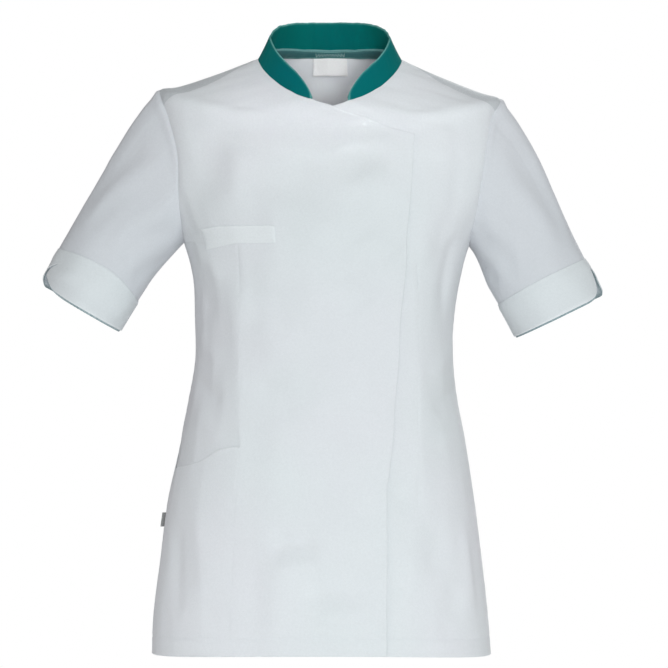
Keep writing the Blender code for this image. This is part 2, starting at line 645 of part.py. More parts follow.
def make_sleeves():
    for sleeve in SLEEVES:
        add_piece("sleeve_" + sleeve.side, cap_sheet(sleeve), CLOTH, WHITE)
        cuff = band_sheet(sleeve, 0, None, CLOTH + LAYER_GAP, sleeve.gape)
        add_piece("cuff_" + sleeve.side, cuff, CLOTH, WHITE)
        facing = band_sheet(sleeve, -FACING_SHOW, SLEEVE_TUCK - SEAM_GAP, FACING_GAP, sleeve.gape / 2)
        add_piece("cuff_facing_" + sleeve.side, facing, COLLAR_CLOTH, TEAL)


# ================================================================ collar, tape, label, tab
def collar_sheet(lift):
    """The stand collar's grid, from one front tip round the back to the other."""
    rows = np.array(COLLAR, dtype=float)
    neck = np.concatenate((SEAMS["neck_left"][::-1], SEAMS["neck_back"][1:-1], shifted(SEAMS["neck_right"])))
    angle = neck[:, 0]
    degrees_round = np.degrees(angle)
    away = np.minimum(degrees_round, 360 - degrees_round)
    rise = np.interp(away, rows[:, 0], rows[:, 1])
    lean = np.interp(away, rows[:, 0], rows[:, 2])
    base = body_point(angle, np.full(len(angle), float(NECK)))
    inward = np.array((NECK_MID, 0, 0)) - base
    inward[:, 2] = 0
    inward = unit(inward)
    points = []
    for up in COLLAR_ROWS:
        bow = lean * (up + COLLAR_BOW * up * (1 - up))
        points.append(base + inward * bow[:, None] + np.array((0, 0, 1)) * (rise * up)[:, None])
    points = np.array(points)
    along = np.gradient(points, axis=1)
    upward = points[-1] - points[0]
    directions = unit(np.cross(along, upward[None]))
    return face_outwards(grid_sheet(points + directions * lift, directions))


def inner_patch(angles, levels, depth):
    """A strip on the inner face of the back neck, from rows of angles and levels."""
    points = body_point(angles, levels)
    directions = body_normal(angles, levels)
    return grid_sheet(points - directions * depth, directions)


def make_neck():
    add_piece("collar_outer", collar_sheet(0.0), COLLAR_CLOTH, TEAL, 0.7)
    add_piece("collar_inner", collar_sheet(-COLLAR_CLOTH - SEAM_GAP), COLLAR_CLOTH, TEAL, 0.7)
    centre_back = np.array(pi)
    drop = body_point(centre_back, np.array(NECK - 10.0)) - body_point(centre_back, np.array(float(NECK)))
    level_per_mm = 10.0 / np.linalg.norm(drop)
    depth = CLOTH + LAYER_GAP
    tape_low = NECK - TAPE_WIDTH * level_per_mm
    round_neck = np.radians(np.linspace(TAPE_ENDS[0], TAPE_ENDS[1], TAPE_COLUMNS))
    tape = inner_patch(*np.meshgrid(round_neck, (tape_low, float(NECK))), depth)
    add_piece("neck_tape", tape, COLLAR_CLOTH, TAPE_TEAL)
    columns, rows = LABEL_GRID
    label_levels = np.linspace(tape_low - LABEL_HEIGHT * level_per_mm, tape_low, rows)
    across, levels = np.meshgrid(np.linspace(-0.5, 0.5, columns) * LABEL_WIDTH, label_levels)
    label = inner_patch(pi - across / ring_at(levels).half, levels, depth)
    add_piece("neck_label", face_outwards(label), COLLAR_CLOTH, LABEL_WHITE)


def make_tab():
    """A small tab that stands out of the right side seam."""
    side = -pi / 2
    levels = np.array(TAB_LEVELS[::-1], dtype=float)
    foot = body_point(np.full(2, side), levels)
    out = np.array((-1.0, 0, 0))
    points = np.array([foot + out * SEAM_GAP, foot + out * (SEAM_GAP + TAB_REACH)])
    points[..., 1] -= TAB_CLOTH / 2
    directions = np.broadcast_to(np.array((0.0, -1.0, 0.0)), points.shape).copy()
    sheet = face_outwards(grid_sheet(points, directions))
    add_piece("side_tab", sheet, TAB_CLOTH, TAB_GREY)


def clear_scene():
    for thing in list(bpy.data.objects):
        bpy.data.objects.remove(thing, do_unlink=True)


clear_scene()
make_panels()
make_sleeves()
make_neck()
make_tab()
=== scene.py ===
# %% [markdown]
# # A work tunic, filled out as if it were worn
#
# The tunic is cut from woven cloth: two fronts that wrap, a back, a yoke over the shoulders, short
# sleeves with turned-back cuffs and a small stand collar. No one is in it, so every piece is a thin
# wall round an empty body. We first rebuild that body's form, because every seam is a line on it,
# then cut the pieces along the seams, then add cloth, thread and light.

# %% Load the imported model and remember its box
from collections import namedtuple
from math import pi, radians

import bpy
import numpy as np
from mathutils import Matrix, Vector, kdtree
from mathutils.geometry import delaunay_2d_cdt


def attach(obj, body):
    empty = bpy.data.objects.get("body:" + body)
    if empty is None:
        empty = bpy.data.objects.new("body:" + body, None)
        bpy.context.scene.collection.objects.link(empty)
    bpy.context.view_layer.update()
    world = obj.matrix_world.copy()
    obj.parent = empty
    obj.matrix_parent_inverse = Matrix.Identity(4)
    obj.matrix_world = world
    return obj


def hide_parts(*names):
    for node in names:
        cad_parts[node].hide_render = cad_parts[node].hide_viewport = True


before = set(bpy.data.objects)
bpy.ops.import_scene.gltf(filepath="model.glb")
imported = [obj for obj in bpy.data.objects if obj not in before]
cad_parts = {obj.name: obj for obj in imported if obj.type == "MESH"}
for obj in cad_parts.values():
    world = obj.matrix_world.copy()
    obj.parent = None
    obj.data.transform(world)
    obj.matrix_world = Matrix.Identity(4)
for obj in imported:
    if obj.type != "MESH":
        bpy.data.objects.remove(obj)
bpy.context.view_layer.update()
print("CAD nodes:", len(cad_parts))

# %% [markdown]
# ## Camera
#
# The picture is square and was taken level, straight from the front. A long lens 4.5 m away keeps
# the sides of the tunic almost parallel. The picture is 0.775 m wide where the tunic's middle is,
# and the camera stands opposite the middle of the picture.

# %% Camera
MM = 0.001
PICTURE_WIDTH = 0.7749          # metres across the picture, at the middle of the tunic
PICTURE_MIDDLE = (0.01044, -0.31784)    # x and z that the camera looks at
CAMERA_AWAY = 4.5
SENSOR = 36.0

camera = bpy.data.objects.new("camera", bpy.data.cameras.new("camera"))
bpy.context.collection.objects.link(camera)
camera.location = (PICTURE_MIDDLE[0], -CAMERA_AWAY, PICTURE_MIDDLE[1])
camera.rotation_euler = (pi / 2, 0, 0)
camera.data.sensor_width = SENSOR
camera.data.lens = SENSOR * CAMERA_AWAY / PICTURE_WIDTH
bpy.context.scene.camera = camera
print("lens", round(camera.data.lens, 1), "mm")

# %% [markdown]
# ## The form under the cloth
#
# A pattern cutter works from a dress form. Ours is a table of rings from the hem up to the neck.
# Each ring is an ellipse that may be fuller at its corners, and may dip at the front and rise at
# the back, as a neckline does. All sizes in the tables are millimetres; x is across, with the
# wearer's left at +x, and y runs to the back.

# %% Rings of the form, and a point on it by angle and level
Ring = namedtuple("Ring", "level mid half front back side_y z_front z_right z_left z_back square dip")
RINGS = (
    Ring(-688, -4.0, 196.6, 130, 127, 2, -681, -687, -688, -690, 0.025, 2.0),    # hem
    Ring(-650, -5.2, 194.3, 128, 129, 2, -645, -650, -650, -651, 0.025, 2.0),
    Ring(-580, -4.6, 186.7, 124, 131, 2, -578, -580, -580, -580, 0.025, 2.0),    # seat
    Ring(-510, -4.4, 177.4, 119, 128, 2, -510, -510, -510, -510, 0.025, 2.0),
    Ring(-440, -2.3, 164.7, 115, 116, 0, -440, -440, -440, -440, 0.025, 2.0),    # hip
    Ring(-395, -2.4, 155.6, 112, 103, 0, -395, -395, -395, -395, 0.025, 2.0),
    Ring(-348, -1.2, 149.6, 110, 93, -2, -348, -348, -348, -348, 0.025, 2.0),    # waist
    Ring(-300, -0.7, 149.9, 112, 90, -3, -300, -300, -300, -300, 0.025, 2.0),
    Ring(-250, 2.1, 155.4, 119, 95, -3, -250, -250, -250, -250, 0.030, 2.0),     # bust
    Ring(-212, 1.7, 165.3, 124, 101, 0, -212, -212, -216, -210, 0.030, 2.0),     # armpits
    Ring(-165, 4.0, 189.0, 121, 106, 3, -165, -164, -166, -160, 0.030, 2.0),
    Ring(-115, 7.0, 199.0, 108, 107, 5, -116, -110, -114, -106, 0.030, 2.0),
    Ring(-65, 5.0, 200.5, 96, 98, 6, -86, -62, -68, -60, 0.030, 2.0),
    Ring(-30, 5.8, 196.2, 91, 86, 5, -72, -34, -44, -34, 0.025, 2.0),            # shoulder tips
    Ring(-14, 5.9, 177.5, 89.5, 82, 4, -68, -31.5, -39.0, -25, 0.02, 1.9),
    Ring(10, 6.0, 140.0, 86, 74, 2, -62, -20, -25, -9, 0.015, 1.8),
    Ring(50, 5.8, 83.5, 80, 62, 0, -53.5, 1.5, 0, 15.6, 0.0, 1.4),               # neck seam
)
HEM = RINGS[0].level
NECK = RINGS[-1].level
NECK_MID = RINGS[-1].mid
SIDE_R, SIDE_L = -pi / 2, pi / 2


def hermite(t):
    """The four weights of a smooth cubic step: start, its slope, end, its slope."""
    return 2 * t**3 - 3 * t**2 + 1, t**3 - 2 * t**2 + t, 3 * t**2 - 2 * t**3, t**3 - t**2


def ring_at(level):
    """Every column of the table at a level, on a smooth curve through the rings."""
    rows = np.array(RINGS, dtype=float)
    levels = rows[:, 0]
    slopes = np.gradient(rows, levels, axis=0)
    below = np.clip(np.searchsorted(levels, level) - 1, 0, len(levels) - 2)
    step = levels[below + 1] - levels[below]
    start, leave, end, arrive = hermite((level - levels[below]) / step)
    weights = (start, leave * step, end, arrive * step)
    values = (rows[below], slopes[below], rows[below + 1], slopes[below + 1])
    mixed = sum(weight[..., None] * value for weight, value in zip(weights, values))
    return Ring(*np.moveaxis(mixed, -1, 0))


def body_point(angle, level):
    """Point of the cloth's outer face; angle in radians from centre front, towards +x."""
    ring = ring_at(level)
    sine, cosine = np.sin(angle), np.cos(angle)
    across = (sine + ring.square * np.sin(3 * angle)) / (1 - ring.square)
    forward = (cosine - ring.square * np.cos(3 * angle)) / (1 - ring.square)
    ahead = cosine > 0
    depth = np.where(ahead, ring.front, ring.back)
    z_side = np.where(sine < 0, ring.z_right, ring.z_left)
    z_end = np.where(ahead, ring.z_front, ring.z_back)
    z = z_side + (z_end - z_side) * np.abs(cosine) ** ring.dip
    return np.stack((ring.mid + ring.half * across, ring.side_y - depth * forward, z), axis=-1)


def on_body(path):
    """The same for a path, an array of (angle, level)."""
    return body_point(*path.T)


def neck_inward(points):
    """The level directions from the points to the middle of the neck."""
    inward = np.array((NECK_MID, 0, 0)) - points
    inward[:, 2] = 0
    return unit(inward)


print("body", len(RINGS), "rings; hem", round(2 * RINGS[0].half), "mm across")

# %% [markdown]
# A direction that points out of the cloth is needed everywhere: to give the cloth its thickness, to
# lay one layer on another, and to push folds in and out. Two small steps on the form give it.

# %% Outward direction, and how far it is along the cloth
def unit(vectors):
    return vectors / np.linalg.norm(vectors, axis=-1, keepdims=True)


ANGLE_STEP, LEVEL_STEP = 0.002, 0.4
LEVEL_MARGIN = 0.5              # the steps stay this far inside the hem and the neck
MAP_ROWS, MAP_TURNS = 300, 12   # levels and upright lines that the height map is measured on


def body_steps(angle, level):
    """How the point moves per radian round the body, and per millimetre of level."""
    level = np.clip(level, HEM + LEVEL_MARGIN, NECK - LEVEL_MARGIN)
    round_it = body_point(angle + ANGLE_STEP, level) - body_point(angle - ANGLE_STEP, level)
    up_it = body_point(angle, level + LEVEL_STEP) - body_point(angle, level - LEVEL_STEP)
    return round_it / (2 * ANGLE_STEP), up_it / (2 * LEVEL_STEP)


def body_normal(angle, level):
    return unit(np.cross(*body_steps(angle, level)))


def height_map():
    """Tables by level: mean radius of the ring, and height measured along the cloth."""
    levels = np.linspace(HEM, NECK, MAP_ROWS)
    turns = np.linspace(0, 2 * pi, MAP_TURNS, endpoint=False)
    around = [body_point(np.full(MAP_ROWS, turn), levels) for turn in turns]
    steps = np.mean([np.linalg.norm(np.diff(line, axis=0), axis=1) for line in around], axis=0)
    ring = ring_at(levels)
    radius = (ring.half + (ring.front + ring.back) / 2) / 2
    return levels, radius, np.concatenate(([0], np.cumsum(steps)))


MAP_LEVELS, MAP_RADIUS, MAP_HEIGHT = height_map()


def radius_of(level):
    return np.interp(level, MAP_LEVELS, MAP_RADIUS)


def height_of(level):
    return np.interp(level, MAP_LEVELS, MAP_HEIGHT)


print("cloth from hem to neck", round(MAP_HEIGHT[-1]), "mm")

# %% [markdown]
# ## Seam lines
#
# A seam is a smooth curve through a few marks on the form. On the fronts a mark is easiest to give
# as it is seen: a level and an x. On the shoulders and round the armholes, angles are easier.

# %% Smooth curves on the form
STEP = 3.0                      # distance between two points of an outline
HALVINGS = 40                   # steps of the search for an angle


def smooth_path(points, count=240):
    """A dense smooth curve through a few points, in any number of coordinates."""
    points = np.asarray(points, dtype=float)
    if len(points) == 2:
        t = np.linspace(0, 1, count)[:, None]
        return points[0] * (1 - t) + points[1] * t
    slopes = np.gradient(points, axis=0)
    t = np.linspace(0, len(points) - 1, count)
    below = np.clip(t.astype(int), 0, len(points) - 2)
    start, leave, end, arrive = hermite((t - below)[:, None])
    return (start * points[below] + leave * slopes[below]
            + end * points[below + 1] + arrive * slopes[below + 1])


def travelled_along(place):
    return np.concatenate(([0], np.cumsum(np.linalg.norm(np.diff(place, axis=0), axis=1))))


def even_steps(path, step=STEP):
    """The same curve on the body, (angle, level), with points one step apart."""
    travelled = travelled_along(on_body(path))
    count = max(1, round(travelled[-1] / step))
    stops = np.linspace(0, travelled[-1], count + 1)
    return np.stack([np.interp(stops, travelled, path[:, axis]) for axis in (0, 1)], axis=1)


def seam(points):
    return even_steps(smooth_path(points))


def angle_across(level, across):
    """Angle on the front half where the ring of that level is at that x."""
    low, high = SIDE_R, SIDE_L
    for _ in range(HALVINGS):
        middle = (low + high) / 2
        if body_point(np.array(middle), np.array(float(level)))[0] < across:
            low = middle
        else:
            high = middle
    return (low + high) / 2


def on_front(marks):
    """Marks of (level, x) on the front half as (angle, level)."""
    return [(angle_across(level, across), level) for level, across in marks]


def on_back(marks):
    """The same on the back half, with x as it is in the scene."""
    return [(pi - angle_across(level, across), level) for level, across in marks]


# %% Marks of every seam, as (level, x)
WRAP_NECK = ((50, -15.8), (39, -5), (29, 5.9))
WRAP_TOP = ((29, 5.9), (-20, 34.3), (-60, 69.6), (-80, 102.0))
WRAP_EDGE = ((-80, 102.0), (-110, 99.8), (-166, 96.2), (-223, 91.5), (-260, 89.4), (-346, 82.2),
             (-416, 77.2), (-476, 72.3), (-524, 69.7), (HEM, 69.5))
UNDER_NECK = ((50, 27.5), (28, 7.5), (-6, -14), (-24, -24))
UNDER_EDGE = ((-24, -24), (-120, -26), (-300, -26), (HEM, -26))
PRINCESS_UPPER = ((-215, -99.3), (-265, -96.5), (-330, -94.5), (-400, -95), (-446, -96))
PRINCESS_LOWER = ((-446, -96), (-500, -101), (-600, -105.5), (HEM, -108))
POCKET_MOUTH = ((-446, -96), (-449, -118), (-456, -131), (-466, -150))
POCKET_SIDE_LEVEL = -476
WELT_CORNERS = ((-196, -56), (-196, -118), (-199, -140), (-222, -134), (-215, -99), (-215, -55))
YOKE_SEAM = ((92, 50), (80, 30), (70, 10), (65, -10), (62.5, -33))  # degrees from centre front, level
YOKE_BACK_SEAM = ((148, -113), (180, -120))
ARMHOLE_TOP, ARMHOLE_BOTTOM = -30, -212
ARMHOLE_FRONT, ARMHOLE_BACK = 31, 33            # degrees that it cuts forward and back
YOKE_FRONT_TURN, YOKE_BACK_TURN = 42, 72        # degrees round it to the yoke's two seams


def armhole(side, turn):
    """(angle, level) on the armhole; turn is degrees from its top, to the front if positive."""
    turn = radians(turn)
    reach = ARMHOLE_FRONT if turn > 0 else ARMHOLE_BACK
    level = (ARMHOLE_TOP + ARMHOLE_BOTTOM) / 2 + (ARMHOLE_TOP - ARMHOLE_BOTTOM) / 2 * np.cos(turn)
    forward = radians(reach) * np.sin(turn)
    return (SIDE_R + forward, level) if side == "right" else (SIDE_L - forward, level)


def armhole_seam(side, start, end):
    return seam([armhole(side, turn) for turn in np.linspace(start, end, 25)])


# %% [markdown]
# Each seam is made once and used by both pieces that meet there, so that they fit edge to edge.

# %% All seams
def shifted(path):
    """The same place on the body, one whole turn on, for pieces that pass over centre back."""
    return path + np.array((2 * pi, 0))


def make_seams():
    seams = {}
    neck_end = radians(YOKE_SEAM[0][0])
    for side, sign in (("right", -1), ("left", 1)):
        over_shoulder = [(sign * radians(away), level) for away, level in YOKE_SEAM]
        seams["yoke_" + side] = seam(over_shoulder + [armhole(side, YOKE_FRONT_TURN)])
        seams["arm_front_" + side] = armhole_seam(side, 180, YOKE_FRONT_TURN)
        seams["arm_top_" + side] = armhole_seam(side, YOKE_FRONT_TURN, -YOKE_BACK_TURN)
        seams["arm_back_" + side] = armhole_seam(side, -YOKE_BACK_TURN, -180)
        seams["side_" + side] = seam([(sign * pi / 2, ARMHOLE_BOTTOM), (sign * pi / 2, POCKET_SIDE_LEVEL)])
        seams["side_low_" + side] = seam([(sign * pi / 2, POCKET_SIDE_LEVEL), (sign * pi / 2, HEM)])
    half_across = [(radians(away), level) for away, level in YOKE_BACK_SEAM]
    right_back = armhole("right", -YOKE_BACK_TURN)
    other_half = [(2 * pi - angle, level) for angle, level in half_across[-2::-1]]
    seams["yoke_back"] = seam([armhole("left", -YOKE_BACK_TURN)] + half_across + other_half
                              + [(right_back[0] + 2 * pi, right_back[1])])
    for name, marks in (("princess_upper", PRINCESS_UPPER), ("princess_lower", PRINCESS_LOWER),
                        ("wrap_neck", WRAP_NECK), ("wrap_top", WRAP_TOP), ("wrap_edge", WRAP_EDGE),
                        ("under_neck", UNDER_NECK), ("under_edge", UNDER_EDGE)):
        seams[name] = seam(on_front(marks))
    seams["under_welt"] = seam([seams["princess_upper"][0], (SIDE_R, ARMHOLE_BOTTOM)])
    seams["hem_side"] = seam([seams["princess_lower"][-1], (SIDE_R, HEM)])
    seams["hem_right"] = seam([seams["wrap_edge"][-1], seams["princess_lower"][-1]])
    seams["hem_left"] = seam([seams["under_edge"][-1], (SIDE_L, HEM)])
    seams["hem_back"] = seam([(SIDE_L, HEM), (SIDE_R + 2 * pi, HEM)])
    seams["neck_right"] = seam([(-neck_end, NECK), seams["wrap_neck"][0]])
    seams["neck_left"] = seam([(neck_end, NECK), seams["under_neck"][0]])
    seams["neck_back"] = seam([(neck_end, NECK), (2 * pi - neck_end, NECK)])
    seams["pocket_mouth"] = seam(on_front(POCKET_MOUTH) + [(SIDE_R, POCKET_SIDE_LEVEL)])
    return seams


SEAMS = make_seams()
print("seams", len(SEAMS))

# %% [markdown]
# ## Folds
#
# Worn cloth is never smooth: it drags towards the armpits, breaks softly at the waist and waves at
# the hem. Each fold is given as a path on the form with its own height and width. A
# positive height is a ridge, a negative one a trough. It fades out at both ends.

# %% Fold tables: height and half-width in mm, then the path's marks, each a level and an x
Fold = namedtuple("Fold", "height width path")


def folds(*rows):
    return [Fold(height, width, np.reshape(marks, (-1, 2))) for height, width, *marks in rows]


FRONT_FOLDS = folds(
    # beside the right armhole, down to the armpit
    (-4.6, 22, -70, -142, -112, -132, -150, -138, -196, -150),
    (2.4, 16, -96, -100, -140, -100, -180, -108),
    (-2.2, 11, -150, -166, -185, -158, -215, -146),
    # from the armpits towards the bust
    (2.8, 13, -222, -150, -236, -132, -262, -118),
    (-1.6, 14, -252, -150, -276, -136, -306, -128),
    (-3.4, 13, -196, 152, -226, 142, -262, 136, -310, 136),
    (3.0, 14, -165, 120, -205, 112, -245, 114),
    (-3.0, 14, -100, 160, -140, 150, -186, 146),
    (2.2, 16, -60, 138, -95, 130, -125, 124),
    # waist, both sides
    (2.0, 11, -312, -148, -338, -132, -352, -112),
    (-2.2, 10, -362, -150, -384, -134, -396, -112),
    (1.8, 12, -398, -148, -424, -134, -442, -116),
    (2.2, 11, -322, 148, -350, 134, -366, 116),
    (-2.2, 11, -372, 152, -394, 136, -406, 120),
    (2.0, 12, -414, 156, -436, 142, -446, 124),
    # beside the dart on the left front, and the small dip by the wrap edge
    (-3.2, 12, -474, 72, -498, 84, -516, 104),
    (3.2, 15, -548, 88, -584, 98, -616, 94),
    (-3.0, 16, -520, 122, -560, 128, -596, 120),
    # soft waves of the skirt part
    (-4.0, 14, -546, -62, -556, -34, -556, -2),
    (3.4, 15, -572, -58, -582, -24, -578, 12),
    (-4.4, 15, -604, -24, -612, 8, -598, 46),
    (3.0, 16, -520, 6, -540, 34, -566, 56),
    (3.0, 14, -632, -10, -640, 22, -632, 52),
    (2.4, 16, -560, -62, -610, -56, -672, -52),
    (2.8, 15, -500, -146, -570, -140, -640, -138),
    (-3.0, 13, -520, -172, -590, -168, -650, -166),
    (-3.2, 14, -600, 150, -640, 142, -676, 132),
    (2.8, 14, -520, 156, -580, 162, -650, 166),
    # over front, chest and middle
    (-3.4, 18, -98, 26, -114, 46, -116, 80),
    (3.2, 17, -138, 26, -150, 56, -150, 88),
    (-3.6, 26, -176, -58, -138, -34, -104, -14),
    (3.0, 22, -218, -30, -196, 4, -190, 34),
    (-4.6, 20, -256, 6, -274, 30, -290, 50),
    (3.6, 20, -206, 34, -222, 58, -236, 80),
    (3.4, 21, -330, 24, -372, 26, -412, 18),
    (-3.2, 17, -352, -72, -392, -56, -420, -30),
    (2.6, 17, -300, -80, -326, -60, -340, -34),
    (-3.2, 19, -462, -44, -486, -16, -500, 18),
    (2.8, 18, -440, 30, -466, 46, -480, 60),
    (-2.6, 18, -252, -66, -292, -52, -322, -60),
    # shoulder to neck
    (1.8, 13, -20, -108, -46, -92, -70, -84),
    (-1.8, 13, -30, -128, -60, -112, -90, -106),
    (1.8, 13, -24, 118, -50, 104, -70, 98),
    (-2.0, 14, -44, 30, -66, 52, -78, 78),
)
BACK_FOLDS = folds(
    (-4.1, 13, -120, -166, -160, -160, -205, -152),
    (-3.8, 13, -116, 170, -160, 160, -200, 150),
    (2.8, 12, -130, -140, -170, -134, -200, -130),
    (2.9, 12, -140, 144, -172, 134, -196, 130),
    (-3.2, 15, -215, -150, -250, -120, -280, -84),
    (2.9, 14, -230, 150, -262, 116, -284, 90),
    (-2.9, 13, -250, 150, -284, 124, -306, 96),
    # the break above the seat
    (-4.6, 12, -330, -132, -340, -80, -334, -30, -342, 10),
    (3.8, 13, -352, -140, -366, -84, -360, -30, -364, 22),
    (-4.1, 11, -318, 20, -330, 66, -322, 128),
    (3.3, 12, -346, 36, -356, 82, -346, 138),
    (-3.2, 10, -382, -100, -392, -50, -386, 0),
    (-2.6, 10, -374, 70, -382, 104, -376, 140),
    # skirt part
    (3.5, 17, -480, -120, -570, -126, -676, -130),
    (-3.2, 17, -500, -76, -590, -80, -680, -84),
    (2.8, 20, -520, -24, -600, -20, -684, -14),
    (-2.9, 17, -510, 42, -590, 46, -680, 52),
    (3.3, 18, -500, 100, -580, 106, -676, 112),
    (-2.3, 14, -560, 146, -620, 150, -680, 152),
    # across the shoulder blades
    (-2.3, 18, -150, -90, -170, -40, -166, 6),
    (2.0, 18, -190, -60, -206, 0, -196, 60),
    (-2.0, 16, -226, -20, -240, 30, -232, 70),
)

# %% [markdown]
# The height of all folds at a point is a sum. For each fold we ask how far the point is from its
# path, measured on the cloth, and how far along the path that is. A faint ripple with no plan adds
# the last bit of life.

# %% Height of the folds anywhere on the body
FADE = 0.3                      # share of a fold's length over which it rises and falls
FOLD_POINTS, ARM_FOLD_POINTS = 18, 16
FOLD_REACH = 3                  # half-widths from its path to where a fold ends
RIPPLE = ((0.22, 16, 21, 0.3), (0.18, 25, -44, 1.7), (0.12, 41, 29, 4.1), (0.10, 10, -17, 2.2))


def smooth(t):
    t = np.clip(t, 0, 1)
    return t * t * (3 - 2 * t)


def ramp(values, start, end):
    """0 up to start, 1 from end on, smooth between; end may be the smaller one."""
    return smooth((values - start) / (end - start))


def bell(distance, width):
    """1 at no distance, and almost 0 beyond twice the width."""
    return np.exp(-(distance / width) ** 2)


def fold_profile(across, up, path, height, width):
    """Height of one fold, from a point's place on the flat cloth and the fold's path there."""
    near = np.full(len(up), np.inf)
    along = np.zeros(len(up))
    pieces_of_path = list(zip(path[:-1], path[1:]))
    for number, (start, end) in enumerate(pieces_of_path):
        run = end - start
        offset = np.stack((across, up), axis=1) - start
        t = np.clip(offset @ run / (run @ run), 0, 1)
        gap = np.linalg.norm(offset - t[:, None] * run, axis=1)
        closer = gap < near
        near[closer] = gap[closer]
        along[closer] = (number + t[closer]) / len(pieces_of_path)
    fading = smooth(along / FADE) * smooth((1 - along) / FADE)
    return height * bell(near, width) * fading


FOLD_PATHS = [(fold, smooth_path(place(fold.path), FOLD_POINTS))
              for table, place in ((FRONT_FOLDS, on_front), (BACK_FOLDS, on_back)) for fold in table]


def folds_at(angle, level):
    """Total height of the folds, in mm out of the form."""
    turned = (np.asarray(angle) + SIDE_L) % (2 * pi) - SIDE_L       # from the right side, all round
    up = height_of(level)
    total = np.zeros(len(turned))
    for fold, path in FOLD_PATHS:
        path_up = height_of(path[:, 1])
        reach = FOLD_REACH * fold.width
        close = (up > path_up.min() - reach) & (up < path_up.max() + reach)
        middle = path[:, 0].mean()
        swing = (turned[close] - middle + pi) % (2 * pi) - pi
        mean_radius = radius_of(path[:, 1].mean())
        flat = np.stack(((path[:, 0] - middle) * mean_radius, path_up), axis=1)
        total[close] += fold_profile(swing * mean_radius, up[close], flat, fold.height, fold.width)
    for height, waves_round, wave_up, phase in RIPPLE:
        total += height * np.sin(turned * waves_round + up / wave_up + phase)
    return total


print("folds", len(FOLD_PATHS))

# %% [markdown]
# ## Cutting a piece of cloth
#
# A piece is cut along its outline and filled with points about 5 mm apart, which are joined into
# triangles. Close to an edge or a stitched line the cloth bends sharply, so extra rows of points
# run beside it. All layers of the tunic are cut this way.

# %% Rows of points beside a line, and distance to a line
FACET = 5.0                     # between two points inside a piece
RIM_ROWS = (1.2, 2.8)           # rows of points beside an edge
LINE_ROWS = (-2.6, -1.2, 0.0, 1.2, 2.6)
CLEAR, CLEAR_OF_EDGE = 4.2, 5.2         # where the even pattern starts, beside a line and an edge
ROW_KEPT = 0.85                 # a row is dropped where it comes closer to the edge than this share
ROW_GAP = 0.87                  # from one row of the pattern to the next, as a share of FACET
KEEP_INSIDE, SAME_POINT = 1, 1e-5       # what the triangulation keeps, and what it takes for one point
FLAT_RADIUS = 150.0             # one radius for the flat layout, so that upright lines stay upright


def flatten(path):
    return np.stack((path[:, 0] * FLAT_RADIUS, height_of(path[:, 1])), axis=1)


def signed_area(flat):
    x, y = flat[:, 0], flat[:, 1]
    return (x * np.roll(y, -1) - y * np.roll(x, -1)).sum() / 2


def beside(path, distance, closed):
    """The same line moved to its left by a distance in mm, along the body."""
    place = on_body(path)
    if closed:
        ahead = np.roll(place, -1, axis=0) - np.roll(place, 1, axis=0)
    else:
        ahead = np.gradient(place, axis=0)
    round_it, up_it = body_steps(*path.T)
    left = unit(np.cross(unit(np.cross(round_it, up_it)), ahead)) * distance
    aa, bb, ab = (round_it**2).sum(1), (up_it**2).sum(1), (round_it * up_it).sum(1)
    a, b = (round_it * left).sum(1), (up_it * left).sum(1)
    scale = aa * bb - ab**2
    return path + np.stack(((bb * a - ab * b) / scale, (aa * b - ab * a) / scale), axis=1)


class Nearness:
    """Answers how far points are from a line in space, and which part of it is the nearest."""

    def __init__(self, line, closed):
        self.line, self.closed = line, closed
        self.tree = kdtree.KDTree(len(line))
        for number, point in enumerate(line):
            self.tree.insert(point, number)
        self.tree.balance()

    def measure(self, points):
        count = len(self.line)
        nearest = np.array([self.tree.find(point)[1] for point in points])
        gap = np.full(len(points), np.inf)
        part = nearest.copy()
        for back in (1, 0):
            start = (nearest - back) % count
            run = self.line[(start + 1) % count] - self.line[start]
            offset = points - self.line[start]
            t = np.clip((offset * run).sum(1) / np.maximum((run**2).sum(1), 1e-9), 0, 1)
            this_gap = np.linalg.norm(offset - t[:, None] * run, axis=1)
            if not self.closed:
                this_gap[start == count - 1] = np.inf
            closer = this_gap < gap
            gap[closer] = this_gap[closer]
            part[closer] = start[closer]
        return gap, part


def inside_outline(outline, points):
    """Even-odd test of many points against one polygon."""
    x, y = points[:, 0], points[:, 1]
    within = np.zeros(len(points), dtype=bool)
    for (x0, y0), (x1, y1) in zip(outline, np.roll(outline, -1, axis=0)):
        if y0 != y1:
            within ^= ((y0 > y) != (y1 > y)) & (x < (x1 - x0) * (y - y0) / (y1 - y0) + x0)
    return within


# %% The even pattern of points inside an outline
def even_pattern(outline):
    """Points in staggered rows over all that the outline spans."""
    row_gap = FACET * ROW_GAP
    lowest, highest = outline[:, 0].min(), outline[:, 0].max()
    bottom, top = height_of(outline[:, 1].min()), height_of(outline[:, 1].max())
    rows = []
    for number in range(int(bottom / row_gap), int(top / row_gap) + 1):
        level = np.interp((number + 0.5) * row_gap, MAP_HEIGHT, MAP_LEVELS)
        pace = FACET / radius_of(level)
        stagger = pace / 2 * (number % 2)
        angles = stagger + pace * np.arange(np.ceil((lowest - stagger) / pace),
                                            (highest - stagger) / pace)
        rows.append(np.stack((angles, np.full(len(angles), level)), axis=1))
    return np.concatenate(rows)


# %% Cut one piece: its points, triangles, and how far each point is from edges and lines
Cut = namedtuple("Cut", "path points normals triangles edge_gap edge_kind line_gaps")


